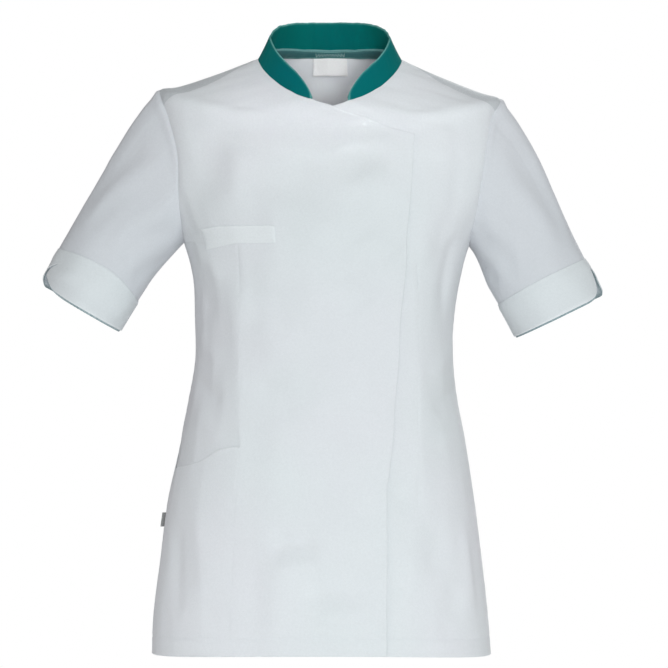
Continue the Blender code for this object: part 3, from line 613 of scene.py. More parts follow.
def cut_piece(parts, lines=()):
    """parts is a list of (path, kind) end to end, kind being seam, free, hem or stitched.

    lines are open paths that get rows of points of their own, such as a dart or a row of stitches.
    """
    if signed_area(flatten(np.concatenate([path[:-1] for path, _ in parts]))) < 0:
        parts = [(path[::-1], kind) for path, kind in parts[::-1]]
    outline = np.concatenate([path[:-1] for path, _ in parts])
    kinds = np.concatenate([[kind] * (len(path) - 1) for path, kind in parts])
    flat_outline = flatten(outline)
    edge = Nearness(on_body(outline), True)
    stitched = [Nearness(on_body(line), False) for line in lines]

    def kept(row, clear):
        """The points that are inside the piece and clear of its edge."""
        gap, _ = edge.measure(on_body(row))
        return row[inside_outline(flat_outline, flatten(row)) & (gap > clear)]

    chosen = [outline] + [kept(beside(outline, away, True), away * ROW_KEPT) for away in RIM_ROWS]
    chosen += [kept(beside(line, away, False), CLEAR) for line in lines for away in LINE_ROWS]
    pattern = kept(even_pattern(outline), CLEAR_OF_EDGE)
    for line in stitched:
        pattern = pattern[line.measure(on_body(pattern))[0] > CLEAR]

    path = np.concatenate(chosen + [pattern])
    border = [list(range(len(outline)))]
    flat = [tuple(point) for point in flatten(path)]
    _, _, faces, origins, _, _ = delaunay_2d_cdt(flat, [], border, KEEP_INSIDE, SAME_POINT)
    path = path[[origin[0] for origin in origins]]
    points = on_body(path)
    gap, part = edge.measure(points)
    line_gaps = [line.measure(points)[0] for line in stitched]
    triangles = np.array([tuple(face) for face in faces])
    return Cut(path, points, body_normal(*path.T), triangles, gap, kinds[part], line_gaps)


# %% [markdown]
# ## From a cut piece to cloth
#
# A cut piece is only a surface. Cloth has a thickness, a folded edge is twice as thick and rounded,
# a hem is turned up inside, and a seam pulls the cloth down into a fine groove. The wall is closed
# all round, so the model is also right where an edge is seen from the side.

# %% Close a surface into cloth
CLOTH = 0.7                     # thickness of one layer
FOLDED = 1.3                    # and of a folded edge
FOLDED_WIDTH = 7.0
HEM_THICK = 1.7
HEM_WIDTH = 21.0                # how far the hem is turned up
SEAM_GAP = 0.02                 # each piece keeps this far from its seam line
SEAM_DIP, SEAM_WIDTH = 0.4, 1.9
SEAM_PUCKER = 0.16              # tiny waves beside a seam
PUCKER_WIDTH, LINE_PUCKER_WIDTH = 9, 8  # how far they reach from a seam and from a stitched line
FLAT_DIP, FLAT_WIDTH = 0.75, 2.2        # where an edge is stitched down flat on another piece
FOLDED_FADE, HEM_FADE = 2, 1.5  # how far the thicker edges take to thin out
EDGE_HIGHLIGHT_WIDTH = 1.1                # how far from an edge the painted highlight reaches
INNER_EDGE_PAINT = 0.8                # how strongly the painted edge colour shows on the faces beside an edge's rim
EDGE_BULGE = 0.45               # how far an open edge rounds out, as a share of its thickness
RIM_LAYER = 0.5                 # 0 is the outer face, 1 the inner one
SHARP_ANGLE = 62


def surface_normals(points, triangles):
    a, b, c = (points[triangles[:, corner]] for corner in range(3))
    face = np.cross(b - a, c - a)
    total = np.zeros_like(points)
    for corner in range(3):
        np.add.at(total, triangles[:, corner], face)
    return unit(total)


def border_edges(triangles):
    """Directed edges that only one triangle uses."""
    edges = np.concatenate([triangles[:, [0, 1]], triangles[:, [1, 2]], triangles[:, [2, 0]]])
    size = triangles.max() + 1
    there, back = edges[:, 0] * size + edges[:, 1], edges[:, 1] * size + edges[:, 0]
    return edges[~np.isin(there, back)]


def rim_directions(points, normals, edges):
    """Numbers of the points at the rim, and for each the way out of the surface."""
    outward = np.zeros_like(points)
    for end in (0, 1):
        push = np.cross(points[edges[:, 1]] - points[edges[:, 0]], normals[edges[:, end]])
        np.add.at(outward, edges[:, end], unit(push))
    rim = np.unique(edges)
    return rim, unit(outward[rim])


def shell(points, triangles, thickness, bulge):
    """Points and faces of a closed wall inside a surface, with one more row round its edge.

    Gives points, faces, and for each point the surface point it came from and its layer.
    """
    used = np.unique(triangles)
    fresh = np.zeros(len(points), dtype=int)
    fresh[used] = np.arange(len(used))
    points, triangles = points[used], fresh[triangles]
    thickness, bulge = thickness[used], bulge[used]
    normals = surface_normals(points, triangles)
    count = len(points)
    edges = border_edges(triangles)
    rim, outward = rim_directions(points, normals, edges)
    rim_number = np.zeros(count, dtype=int)
    rim_number[rim] = 2 * count + np.arange(len(rim))
    inner = points - normals * thickness[:, None]
    middle = (points[rim] + inner[rim]) / 2 + outward * (bulge[rim] * thickness[rim])[:, None]
    faces = triangles.tolist() + (triangles[:, ::-1] + count).tolist()
    for start, end in edges:
        faces.append((end, start, rim_number[start], rim_number[end]))
        faces.append((rim_number[end], rim_number[start], start + count, end + count))
    source = np.concatenate((used, used, used[rim]))
    layer = np.concatenate((np.zeros(count), np.ones(count), np.full(len(rim), RIM_LAYER)))
    return np.concatenate((points, inner, middle)), faces, source, layer


# %% Make the mesh of a piece, with its own cloth coordinates and its painted edge colour
def cloth_object(name, points, triangles, thickness, cloth_place, edge_highlight_and_binding, materials, bulge):
    """cloth_place is where each point is on the flat cloth, in mm, so that the weave follows it.

    With two materials, the second one is for the inner face.
    """
    bulge = np.broadcast_to(np.asarray(bulge, dtype=float), len(points))
    thickness = np.broadcast_to(np.asarray(thickness, dtype=float), len(points))
    wall, faces, source, layer = shell(points, triangles, thickness, bulge)
    mesh = bpy.data.meshes.new(name)
    mesh.from_pydata((wall * MM).tolist(), [], faces)
    for material in materials:
        mesh.materials.append(material)
    corners = np.empty(len(mesh.loops), dtype=int)
    mesh.loops.foreach_get("vertex_index", corners)
    weave = mesh.uv_layers.new(name="cloth")
    weave.data.foreach_set("uv", (cloth_place[source] * MM)[corners].ravel())
    # painted edge colour: a painted highlight along edges, and on the facings their dark teal edge
    painted_edge_mask = mesh.attributes.new("edge_highlight_and_binding", "FLOAT", "POINT")
    painted_edge_share = edge_highlight_and_binding[source] * np.where(layer == RIM_LAYER, 1, INNER_EDGE_PAINT)
    painted_edge_mask.data.foreach_set("value", painted_edge_share)
    if len(materials) > 1:
        inner_side = [int(all(layer[corner] >= RIM_LAYER for corner in face)) for face in faces]
        mesh.polygons.foreach_set("material_index", inner_side)
    mesh.shade_smooth()
    mesh.set_sharp_from_angle(angle=radians(SHARP_ANGLE))
    mesh.update()
    piece = bpy.data.objects.new(name, mesh)
    bpy.context.collection.objects.link(piece)
    print(name, len(faces), "faces")
    return piece


# %% From a cut on the body to cloth: folds, seams, layers
def pucker(points):
    """Tiny waves along seams, from three crossing sines so that no two are alike."""
    x, y, z = points.T
    crossing = np.sin(x * 0.9 + z * 0.63) * np.sin(z * 0.81 - y * 0.7)
    return crossing + 0.5 * np.sin(x * 0.37 + y * 0.53 + z * 0.49)


def drape(cut, lift=None, line_depths=()):
    """Where each point of a cut goes: on the form, with folds, pulled in at its seams."""
    out = folds_at(*cut.path.T)
    at_seam = cut.edge_kind == "seam"
    out -= np.where(at_seam, SEAM_DIP * bell(cut.edge_gap, SEAM_WIDTH), 0)
    out -= np.where(cut.edge_kind == "stitched", FLAT_DIP * bell(cut.edge_gap, FLAT_WIDTH), 0)
    out += np.where(at_seam, SEAM_PUCKER * bell(cut.edge_gap, PUCKER_WIDTH) * pucker(cut.points), 0)
    for gap, depth in zip(cut.line_gaps, line_depths):
        out -= depth * bell(gap, SEAM_WIDTH)
        out += SEAM_PUCKER * bell(gap, LINE_PUCKER_WIDTH) * pucker(cut.points)
    if lift is not None:
        out += lift(cut.points)
    return cut.points + cut.normals * out[:, None]


def edge_thickness(cut):
    """Thickness of the cloth at each point: a folded edge and the turned-up hem are thicker."""
    folded = (cut.edge_kind == "free") * smooth(1 - (cut.edge_gap - FOLDED_WIDTH) / FOLDED_FADE)
    above_hem = cut.points[:, 2] - hem_height(cut.path[:, 0])
    hemmed = smooth(1 - (above_hem - HEM_WIDTH) / HEM_FADE)
    return CLOTH + (FOLDED - CLOTH) * folded + (HEM_THICK - CLOTH) * hemmed * (1 - folded)


def hem_height(angle):
    return body_point(angle, np.full(len(angle), float(HEM)))[:, 2]


def body_piece(name, parts, materials, lift=None, lines=(), line_depths=(), painted_edge_share=None):
    """The last argument says for each point how strongly a folded edge there carries the painted highlight,
    from 0 to 1.
    """
    cut = cut_piece(parts, lines)
    points = drape(cut, lift, line_depths)
    rim, outward = rim_directions(points, cut.normals, border_edges(cut.triangles))
    points[rim] -= outward * SEAM_GAP
    angle, level = cut.path.T
    place = np.stack(((angle - angle.mean()) * radius_of(level), height_of(level)), axis=1)
    # painted highlight along the free edges
    painted_edge_mask = bell(cut.edge_gap, EDGE_HIGHLIGHT_WIDTH) * (cut.edge_kind == "free")
    if painted_edge_share is not None:
        painted_edge_mask *= painted_edge_share(cut.points)
    rounding = np.where(np.isin(cut.edge_kind, ("seam", "stitched")), 0.0, EDGE_BULGE)
    return cloth_object(name, points, cut.triangles, edge_thickness(cut), place, painted_edge_mask, materials, rounding)


# %% [markdown]
# ## Materials
#
# The white cloth is a close polyester and cotton twill: matt, a little cool, with a fine diagonal
# rib. The yoke is an open cloth; its outer face is coloured grey with darker holes, as painted shade of the
# hollow inside, and its inner face lighter, as painted light coming through it.
# The weaves follow each piece's own cloth coordinates, so they run with the grain on every panel.

# %% Node helpers
def new_material(name):
    material = bpy.data.materials.new(name)
    material.use_nodes = True
    return material, material.node_tree, material.node_tree.nodes["Principled BSDF"]


def fill(tree, socket, value):
    """Set a socket, or link it when the value is another node's socket."""
    if isinstance(value, bpy.types.NodeSocket):
        tree.links.new(value, socket)
    else:
        socket.default_value = value


def add_node(tree, kind, **values):
    """A node with its settings and inputs filled; _0 is its first input, and so on."""
    node = tree.nodes.new(kind)
    for key, value in values.items():
        if hasattr(node, key):
            setattr(node, key, value)
        else:
            fill(tree, node.inputs[int(key[1:]) if key[1:].isdigit() else key.replace("_", " ")], value)
    return node


def maths(tree, operation, a, b=0.0, c=0.0):
    return add_node(tree, "ShaderNodeMath", operation=operation, _0=a, _1=b, _2=c).outputs[0]


def mixed(tree, factor, a, b):
    return add_node(tree, "ShaderNodeMix", data_type="RGBA", _0=factor, _6=a, _7=b).outputs[2]


def mapped(tree, value, low, high, to_low=0.0, to_high=1.0):
    """A value moved evenly from one range to another, and held inside it."""
    return add_node(tree, "ShaderNodeMapRange",
                    _0=value, _1=low, _2=high, _3=to_low, _4=to_high).outputs[0]


def noise(tree, place, scale, detail=2.0):
    return add_node(tree, "ShaderNodeTexNoise", Vector=place, Scale=scale, Detail=detail).outputs["Fac"]


def object_place(tree):
    return add_node(tree, "ShaderNodeTexCoord").outputs["Object"]


def times(tree, colour, share):
    return add_node(tree, "ShaderNodeVectorMath", operation="SCALE", _0=colour, Scale=share).outputs[0]


def dress(tree, shader, colour, bump, roughness, sheen, gloss=0.5, sheen_tint=(1, 1, 1)):
    """Fill the shader of a cloth or a thread."""
    for name, value in (("Base Color", colour), ("Normal", bump.outputs[0]), ("Roughness", roughness),
                        ("Specular IOR Level", gloss), ("Sheen Weight", sheen), ("Sheen Roughness", 0.5),
                        ("Sheen Tint", (*sheen_tint, 1))):
        fill(tree, shader.inputs[name], value)


def along_weave(tree, pitch):
    """Places across and along the cloth, counted so that one pitch is a whole turn."""
    cloth = add_node(tree, "ShaderNodeUVMap", uv_map="cloth").outputs[0]
    split = add_node(tree, "ShaderNodeSeparateXYZ", _0=cloth)
    return [maths(tree, "MULTIPLY", split.outputs[axis], 2 * pi / pitch) for axis in (0, 1)]


def threads(tree, pitch, slant):
    """Height of a weave: ribs that lean by slant across the cloth, cut up by the cross threads."""
    u, v = along_weave(tree, pitch)
    ribs = maths(tree, "SINE", maths(tree, "ADD", u, maths(tree, "MULTIPLY", v, slant)))
    cross = maths(tree, "SINE", maths(tree, "MULTIPLY", v, 1.7))
    return maths(tree, "MULTIPLY", ribs, maths(tree, "MULTIPLY_ADD", cross, 0.35, 0.65))


# %% Woven cloth
MOTTLE = 0.02                   # how unevenly the yarns took their colour
GROOVES = (0.93, 1.03)          # shade between two ribs, and on a rib
TWILL = (0.0006, 1.0)           # pitch of the ribs in metres, and how much they lean
# colour of the painted highlight along the white cloth's folded edges
WHITE_EDGE_HIGHLIGHT = (0.84, 0.86, 0.88)


def woven(name, colour, tint, pitch, slant, roughness, sheen, rib=0.00006, painted_edge_colour=None,
          sheen_tint=(1, 1, 1), gloss=0.25):
    """Colour drifts softly towards tint over the piece; the edge colour argument is painted along edges: a
    painted highlight on most cloths, the dark teal edge on the facings.
    """
    material, tree, shader = new_material(name)
    height, place = threads(tree, pitch, slant), object_place(tree)
    fine = noise(tree, place, 420.0, 3.0)
    shade = mixed(tree, mapped(tree, noise(tree, place, 5.0), 0.35, 0.65), (*colour, 1), (*tint, 1))
    slub = mapped(tree, fine, 0.3, 0.7, 1 - MOTTLE, 1 + MOTTLE)
    groove = mapped(tree, height, -1.0, 1.0, *GROOVES)
    result = times(tree, shade, maths(tree, "MULTIPLY", slub, groove))
    # painted highlight along the edges; on the facings this is their dark teal edge
    if painted_edge_colour:
        painted_edge_mask = add_node(tree, "ShaderNodeAttribute", attribute_name="edge_highlight_and_binding").outputs["Fac"]
        painted_edge_share = maths(tree, "MULTIPLY", painted_edge_mask, maths(tree, "MULTIPLY_ADD", fine, 0.8, 0.4))
        result = mixed(tree, painted_edge_share, result, (*painted_edge_colour, 1))
    weave_bump = add_node(tree, "ShaderNodeBump", Strength=0.7, Distance=rib, Height=height)
    soft_bump = add_node(tree, "ShaderNodeBump", Strength=0.2, Distance=0.0005,
                         Height=noise(tree, place, 60.0, 4.0), Normal=weave_bump.outputs[0])
    dress(tree, shader, result, soft_bump, roughness, sheen, gloss, sheen_tint)
    return material


WHITE_TWILL = woven("white_twill", (0.705, 0.73, 0.75), (0.72, 0.722, 0.755), *TWILL, 0.85, 0.10,
                    painted_edge_colour=WHITE_EDGE_HIGHLIGHT)
# the welt is a lighter copy of the white twill: painted light on the welt
WELT_TWILL_LIT = woven("welt_twill_painted_light", (0.75, 0.775, 0.795), (0.76, 0.775, 0.795), *TWILL, 0.85, 0.10,
                   painted_edge_colour=WHITE_EDGE_HIGHLIGHT)
# the sleeves are a darker copy of the white twill: painted shade on the sleeves
SLEEVE_TWILL_SHADED = woven("sleeve_twill_painted_shade", (0.65, 0.665, 0.70), (0.66, 0.665, 0.70), *TWILL, 0.85, 0.10)
# the cuffs are a slightly darker copy of the white twill, as painted shade, with a painted highlight along
# their edges
CUFF_TWILL_SHADED = woven("cuff_twill_painted_shade", (0.69, 0.72, 0.74), (0.695, 0.715, 0.74), *TWILL, 0.85, 0.10,
                   painted_edge_colour=WHITE_EDGE_HIGHLIGHT)
# the lighter teal along the collar's edges is a painted highlight
TEAL_TWILL = woven("teal_twill", (0.0, 0.125, 0.112), (0.0, 0.118, 0.128), *TWILL, 0.8, 0.06,
                   painted_edge_colour=(0.16, 0.42, 0.39), sheen_tint=(0.1, 0.9, 0.85), gloss=0.05)
# the lighter teal along the tape's edges is a painted highlight
TAPE_CLOTH = woven("tape_teal_grey", (0.03, 0.12, 0.125), (0.04, 0.125, 0.135), 0.0009, 0.0, 0.8, 0.12,
                   painted_edge_colour=(0.20, 0.42, 0.42))
# the facing has a dark teal edge; its pale bluish face is made lighter so the shaded inside of the slit
# looks lit, which is painted light
FACING_CLOTH = woven("facing_with_teal_edge", (0.78, 0.85, 0.90), (0.80, 0.85, 0.90), *TWILL, 0.8, 0.10,
                     painted_edge_colour=(0.02, 0.11, 0.12))
LABEL_SATIN = woven("label_satin", (0.985, 0.95, 0.955), (0.99, 0.96, 0.965), 0.0004, 0.0, 0.45, 0.05,
                    rib=0.00003)
TAB_RIBBON = woven("tab_grey", (0.23, 0.24, 0.24), (0.26, 0.26, 0.26), 0.0008, 0.0, 0.7, 0.15)

# %% Open cloth of the yoke, with rows of tiny holes, coloured darker as painted shade
HOLE_PITCH = 0.0014


def open_weave(name, colour, hole_shade):
    material, tree, shader = new_material(name)
    u, v = [maths(tree, "SINE", place) for place in along_weave(tree, HOLE_PITCH)]
    hole = mapped(tree, maths(tree, "MULTIPLY", u, v), 0.35, 0.75)
    drift = mapped(tree, noise(tree, object_place(tree), 9.0), 0.3, 0.7, 0.96, 1.04)
    # the holes take the darker colour: painted shade of the hollow behind the cloth
    shade = times(tree, mixed(tree, hole, (*colour, 1), (*hole_shade, 1)), drift)
    bump = add_node(tree, "ShaderNodeBump", Strength=0.8, Distance=0.00015,
                    Height=maths(tree, "MULTIPLY", hole, -1.0))
    dress(tree, shader, shade, bump, 0.8, 0.1, 0.2)
    return material


# outer face: grey, as painted shade of the hollow inside; inner face: lighter, as painted light coming
# through the open cloth
YOKE_OUTER_SHADED = open_weave("yoke_open_cloth_painted_shade", (0.60, 0.62, 0.645), (0.37, 0.39, 0.41))
YOKE_INNER_LIT = open_weave("yoke_inner_face_painted_light", (0.86, 0.85, 0.88), (0.76, 0.76, 0.79))


# %% Thread
def thread_material(name, colour):
    material, tree, shader = new_material(name)
    twist = add_node(tree, "ShaderNodeTexWave", Vector=object_place(tree), Scale=900.0,
                     Distortion=2.0).outputs["Fac"]
    shade = mixed(tree, twist, (*[value * 0.86 for value in colour], 1), (*colour, 1))
    bump = add_node(tree, "ShaderNodeBump", Strength=0.4, Distance=0.00005, Height=twist)
    dress(tree, shader, shade, bump, 0.6, 0.2)
    return material


WHITE_THREAD = thread_material("white_thread", (0.74, 0.77, 0.80))
TEAL_THREAD = thread_material("teal_thread", (0.22, 0.48, 0.46))
LIGHT_THREAD = thread_material("light_teal_thread", (0.42, 0.62, 0.60))
print("materials", len(bpy.data.materials))

# %% [markdown]
# ## The body panels
#
# Where two layers lie on each other, the real cloth steps up by its own thickness. The over front
# rises before it reaches the under front's edge, the side front sinks before it runs in under the
# hip pocket, and the welt lies on top of them all.

# %% How layers lie on each other
LAYER = 2.4                     # from one layer's outer face to the next one's
WELT_LAYER = 1.35
POCKET_LAYER = 1.6
SIDE_HOLLOW = 2.0
RISE_RUN, RISE_SHORT = 32, 27   # length of a step up, and how far before the edge below it is done
POCKET_CLEAR = 14               # the side front has sunk this far above the pocket's mouth


Crest = namedtuple("Crest", "marks height reach starts full until ends kept")
CRESTS = (
    Crest(PRINCESS_UPPER + PRINCESS_LOWER[1:], 5.0, 26, -245, -300, -425, -458, 0.3),
    Crest(((-235, 104.5), (-359, 104.0), (-513, 106.4)), 6.0, 24, -240, -290, -450, -505, 0.0),
)
CREST_SIDES, CREST_HEM = (150, 120), (-660, -600)       # x beside and z above the hem where they grow


def crest(points):
    """The front stays flat as far as the princess seam and the dart, and turns away sharply there."""
    x, _, z = points.T
    total = np.zeros(len(x))
    for one in CRESTS:
        levels, across = np.array(one.marks[::-1]).T
        away = np.abs(x - np.interp(z, levels, across))
        strong = ramp(z, one.starts, one.full)
        strong *= one.kept + (1 - one.kept) * ramp(z, one.ends, one.until)
        total += one.height * strong * np.exp(-away / one.reach)
    return total * ramp(np.abs(x), *CREST_SIDES) * ramp(z, *CREST_HEM)


def wrap_lift(points):
    """The over front rises off the form before it reaches the under front's edge."""
    end = UNDER_EDGE[-1][1] - RISE_SHORT
    return LAYER * smooth((points[:, 0] - end) / RISE_RUN + 1) + crest(points)


def side_form(points):
    """The side front turns away from the seam at the waist, and sinks before the pocket covers it."""
    x, _, z = points.T
    turned = SIDE_HOLLOW * ramp(x, -97, -127) * ramp(x, -152, -130) * ramp(z, -240, -300)
    turned *= 0.25 + 0.75 * ramp(z, -446, -396)         # a quarter is left behind the pocket
    return pocket_sink(points) - turned + crest(points)


def pocket_sink(points):
    marks = [(across, level) for level, across in POCKET_MOUTH[::-1]]
    side = body_point(np.array(SIDE_R), np.array(float(POCKET_SIDE_LEVEL)))
    mouth_x = [side[0]] + [across for across, _ in marks]
    mouth_z = [side[2]] + [level for _, level in marks]
    above = points[:, 2] - np.interp(points[:, 0], mouth_x, mouth_z)
    return -POCKET_LAYER * ramp(above, POCKET_CLEAR + RISE_RUN, POCKET_CLEAR)


def welt_lift(points):
    return wrap_lift(points) + WELT_LAYER


# %% Stitched lines on the panels
def level_line(start, end, above_hem):
    """A line at one height above the hem, from one angle to the other."""
    turns = np.linspace(start, end, 30)
    return seam(np.stack((turns, np.full(30, HEM + above_hem)), axis=1))


def hem_line(name, trim=0.02):
    """The row of stitches that holds the hem of the panel with that hem seam."""
    start, end = sorted((SEAMS[name][0][0], SEAMS[name][-1][0]))
    return level_line(start + trim, end - trim, HEM_WIDTH)


DART_FRONT = seam(on_front(((-235, 104.5), (-300, 104.2), (-359, 104.0), (-440, 105.2), (-513, 106.4))))
DARTS_BACK = [seam(on_back(((-205, x * 1.02), (-280, x), (-350, x * 0.97), (-430, x), (-505, x * 1.03))))
              for x in (-72, 76)]
DART_DEPTH = 0.7
STITCH_DIP = 0.35
EDGE_HIGHLIGHT_ABOVE = (-84, -76)       # z above which the wrap edge carries a painted highlight

# %% Cut and drape the panels
FREE_EDGES = ("wrap_neck", "wrap_top", "wrap_edge", "under_neck", "under_edge", "pocket_mouth")
PANEL_SEAMS = {                 # end to end; - is back to front, + is one turn on, past centre back
    "over_front": "neck_right wrap_neck wrap_top wrap_edge hem_right -princess_lower "
                  "-princess_upper under_welt arm_front_right -yoke_right",
    "side_front": "princess_upper princess_lower hem_side -side_low_right -side_right -under_welt",
    "under_front": "neck_left under_neck under_edge hem_left -side_low_left -side_left "
                   "arm_front_left -yoke_left",
    "back_panel": "side_left side_low_left hem_back +-side_low_right +-side_right "
                  "+-arm_back_right -yoke_back arm_back_left",
    "shoulder_yoke": "yoke_left arm_top_left yoke_back +-arm_top_right +-yoke_right -neck_back",
    "hip_pocket_outer": "princess_lower hem_side -side_low_right -pocket_mouth",
}


def outline_part(mark):
    """One seam of an outline, and the kind of edge it is."""
    name = mark.lstrip("+-")
    path = SEAMS[name][::-1] if "-" in mark else SEAMS[name]
    kind = "hem" if name.startswith("hem") else "free" if name in FREE_EDGES else "seam"
    return shifted(path) if "+" in mark else path, kind


PANELS = {name: [outline_part(mark) for mark in marks.split()] for name, marks in PANEL_SEAMS.items()}
white = [WHITE_TWILL]
# the over front's painted edge highlight shows only above the wrap, along its top and neck
over_front = body_piece("over_front", PANELS["over_front"], white, wrap_lift, [hem_line("hem_right")],
                        [STITCH_DIP], painted_edge_share=lambda points: ramp(points[:, 2], *EDGE_HIGHLIGHT_ABOVE))
side_front = body_piece("side_front", PANELS["side_front"], white, side_form)
under_front = body_piece("under_front", PANELS["under_front"], white, crest,
                         [hem_line("hem_left"), DART_FRONT], [STITCH_DIP, DART_DEPTH])
back_panel = body_piece("back_panel", PANELS["back_panel"], white, None,
                        [hem_line("hem_back")] + DARTS_BACK, [STITCH_DIP, DART_DEPTH, DART_DEPTH])
shoulder_yoke = body_piece("shoulder_yoke", PANELS["shoulder_yoke"], [YOKE_OUTER_SHADED, YOKE_INNER_LIT])
hip_pocket = body_piece("hip_pocket_outer", PANELS["hip_pocket_outer"], white, crest,
                        [hem_line("hem_side")], [STITCH_DIP])
welt_marks = on_front(WELT_CORNERS)
welt_kinds = ("free", "free", "stitched", "stitched", "stitched", "stitched")     # it opens at its top
welt_sides = [(seam([mark, after]), kind)
              for mark, after, kind in zip(welt_marks, welt_marks[1:] + welt_marks[:1], welt_kinds)]
chest_welt = body_piece("chest_welt_strip", welt_sides, [WELT_TWILL_LIT], welt_lift)

# %% [markdown]
# ## Sleeves
#
# Each sleeve leaves the armhole seam, rounds over the shoulder tip and runs straight down into its
# cuff. It is one piece of cloth whose two edges meet under the arm. The tables give each arm's
# rings as they are seen from the front, and the cuff's depth at its outer line, at its front and
# back and under the arm. Turns are measured forward from the outer line.

# %% The two arms
Arm = namedtuple("Arm", "side top_x top_z top_r end_x end_z end_r cuff_out cuff_face cuff_in "
                 "front_edge back_edge flare tilt facing_show teal_edge")
# The last number of each arm is the width of the facing's dark teal edge; the left one is wider, as painted
# shade in its slit.
ARMS = (
    Arm("right", -256.3, -238.0, 56.7, -284.0, -287.6, 53.0, 48, 56, 39,
        ((0, 69), (0.6, 58), (1.6, 50), (3.2, 42), (5.5, 35), (10, 23.5), (14.5, 19), (22, 21), (28, 29),
         (34, 39)),
        ((0, -22), (0.5, -17), (1.5, -13), (3, -9.5), (6, -6), (10, -4), (17, 1), (24, 16), (34, 38)),
        0.0, 3.0, 1.6, 2.4),
    Arm("left", 240.7, -238.0, 57.2, 270.0, -295.7, 54.8, 44, 46, 42,
        ((0, 52), (0.6, 45), (1.6, 40), (3, 36), (6, 31.5), (10, 28), (16, 25), (23, 22.5), (29, 21),
         (34, 20.5)),
        ((0, -24), (0.6, -17), (1.6, -13), (4, -9), (10, -7), (16, -5), (23, 1), (29, 10), (34, 19.5)),
        1.6, -2.0, 1.5, 6.0),
)
ARM_Y = (0, -6)                 # the arm hangs a little forward: y of the upper and of the end ring
CAP_PULL = 150                  # how strongly the sleeve head rounds over the shoulder tip
PIT_PULL_SHARE = 0.35           # how much of that is left in the armpit
CAP_END_PULL = 0.9              # how straight the sleeve runs into its cuff, as a share of its length
HEAD_SLOPE = (0.88, 0.47)       # out and down, where the sleeve leaves the shoulder tip
PIT_SLOPE = (0.66, 0.75)        # and where it leaves the armpit
SLIT_DEPTH = 34
SLEEVE_TUCK = 37                # height above the end where the sleeve stops, under the cuff
ARM_RADIUS = 57.0               # one radius for all arms, to measure across the cloth
ARM_WAVES = ((0.7, 3, 0.4, 31), (0.5, 5, 2.1, -23), (0.35, 8, 4.0, 17))


def arm_axes(arm):
    """Middle of the upper and the end ring, the way down the arm, and the way out."""
    upper = np.array((arm.top_x, ARM_Y[0], arm.top_z))
    end = np.array((arm.end_x, ARM_Y[1], arm.end_z))
    down = unit(end - upper)
    outward = unit(np.cross(down, np.array((0.0, 1.0, 0.0))))
    return upper, end, down, outward * np.sign(outward[0] * arm.end_x)


def arm_point(arm, turn, height):
    """Point of the sleeve's lower part; turn in radians, height in mm above its end."""
    upper, end, down, outward = arm_axes(arm)
    t = (1 - np.asarray(height) / np.linalg.norm(end - upper))[..., None]
    turn = np.asarray(turn)[..., None]
    waves = sum(size * np.sin(count * turn + phase + arm.end_x / 50 + t * 60 / length)
                for size, count, phase, length in ARM_WAVES)
    radius = arm.top_r + (arm.end_r - arm.top_r) * t + waves
    forward = np.array((0.0, -1.0, 0.0))
    return upper + (end - upper) * t + radius * (np.cos(turn) * outward + np.sin(turn) * forward)


OUTLINE_TRIM = {                # how far the outer side is taken in, as (z, mm)
    "right": ((-275, 1.5), (-260, 2.0), (-251, 0.6), (-242, 2.3), (-235, 2.6), (-215, 2.0), (-190, 2.7),
              (-170, 4.6), (-150, 6.3), (-125, 7.4), (-100, 6.7), (-80, 5.9), (-62, 5.2), (-43, 3.0)),
    "left": ((-275, -2.8), (-255, -1.5), (-240, -0.5), (-215, 0.0), (-190, 0.4), (-170, 1.5), (-150, 2.8),
             (-125, 3.7), (-100, 4.8), (-80, 5.8), (-62, 5.2), (-43, 2.5)),
}


def trimmed(arm, points, turn):
    """The points with the arm's outer side taken in to a straight outline."""
    levels, amounts = np.array(OUTLINE_TRIM[arm.side]).T
    outer = ((1 + np.cos(turn)) / 2) ** 1.5
    return points - arm_axes(arm)[3] * (np.interp(points[..., 2], levels, amounts) * outer)[..., None]


def cuff_depth(arm, turn):
    """Depth of the turned-back cuff all round the arm."""
    level_part = np.where(np.cos(turn) > 0, arm.cuff_out, arm.cuff_in) * np.cos(turn) ** 2
    return level_part + arm.cuff_face * np.sin(turn) ** 2


# %% [markdown]
# The sleeve is dragged by the arm that would be in it: soft lines fan out from the armpit, and the
# seam allowance inside the sleeve head lifts the cloth into a slight roll beside the seam.

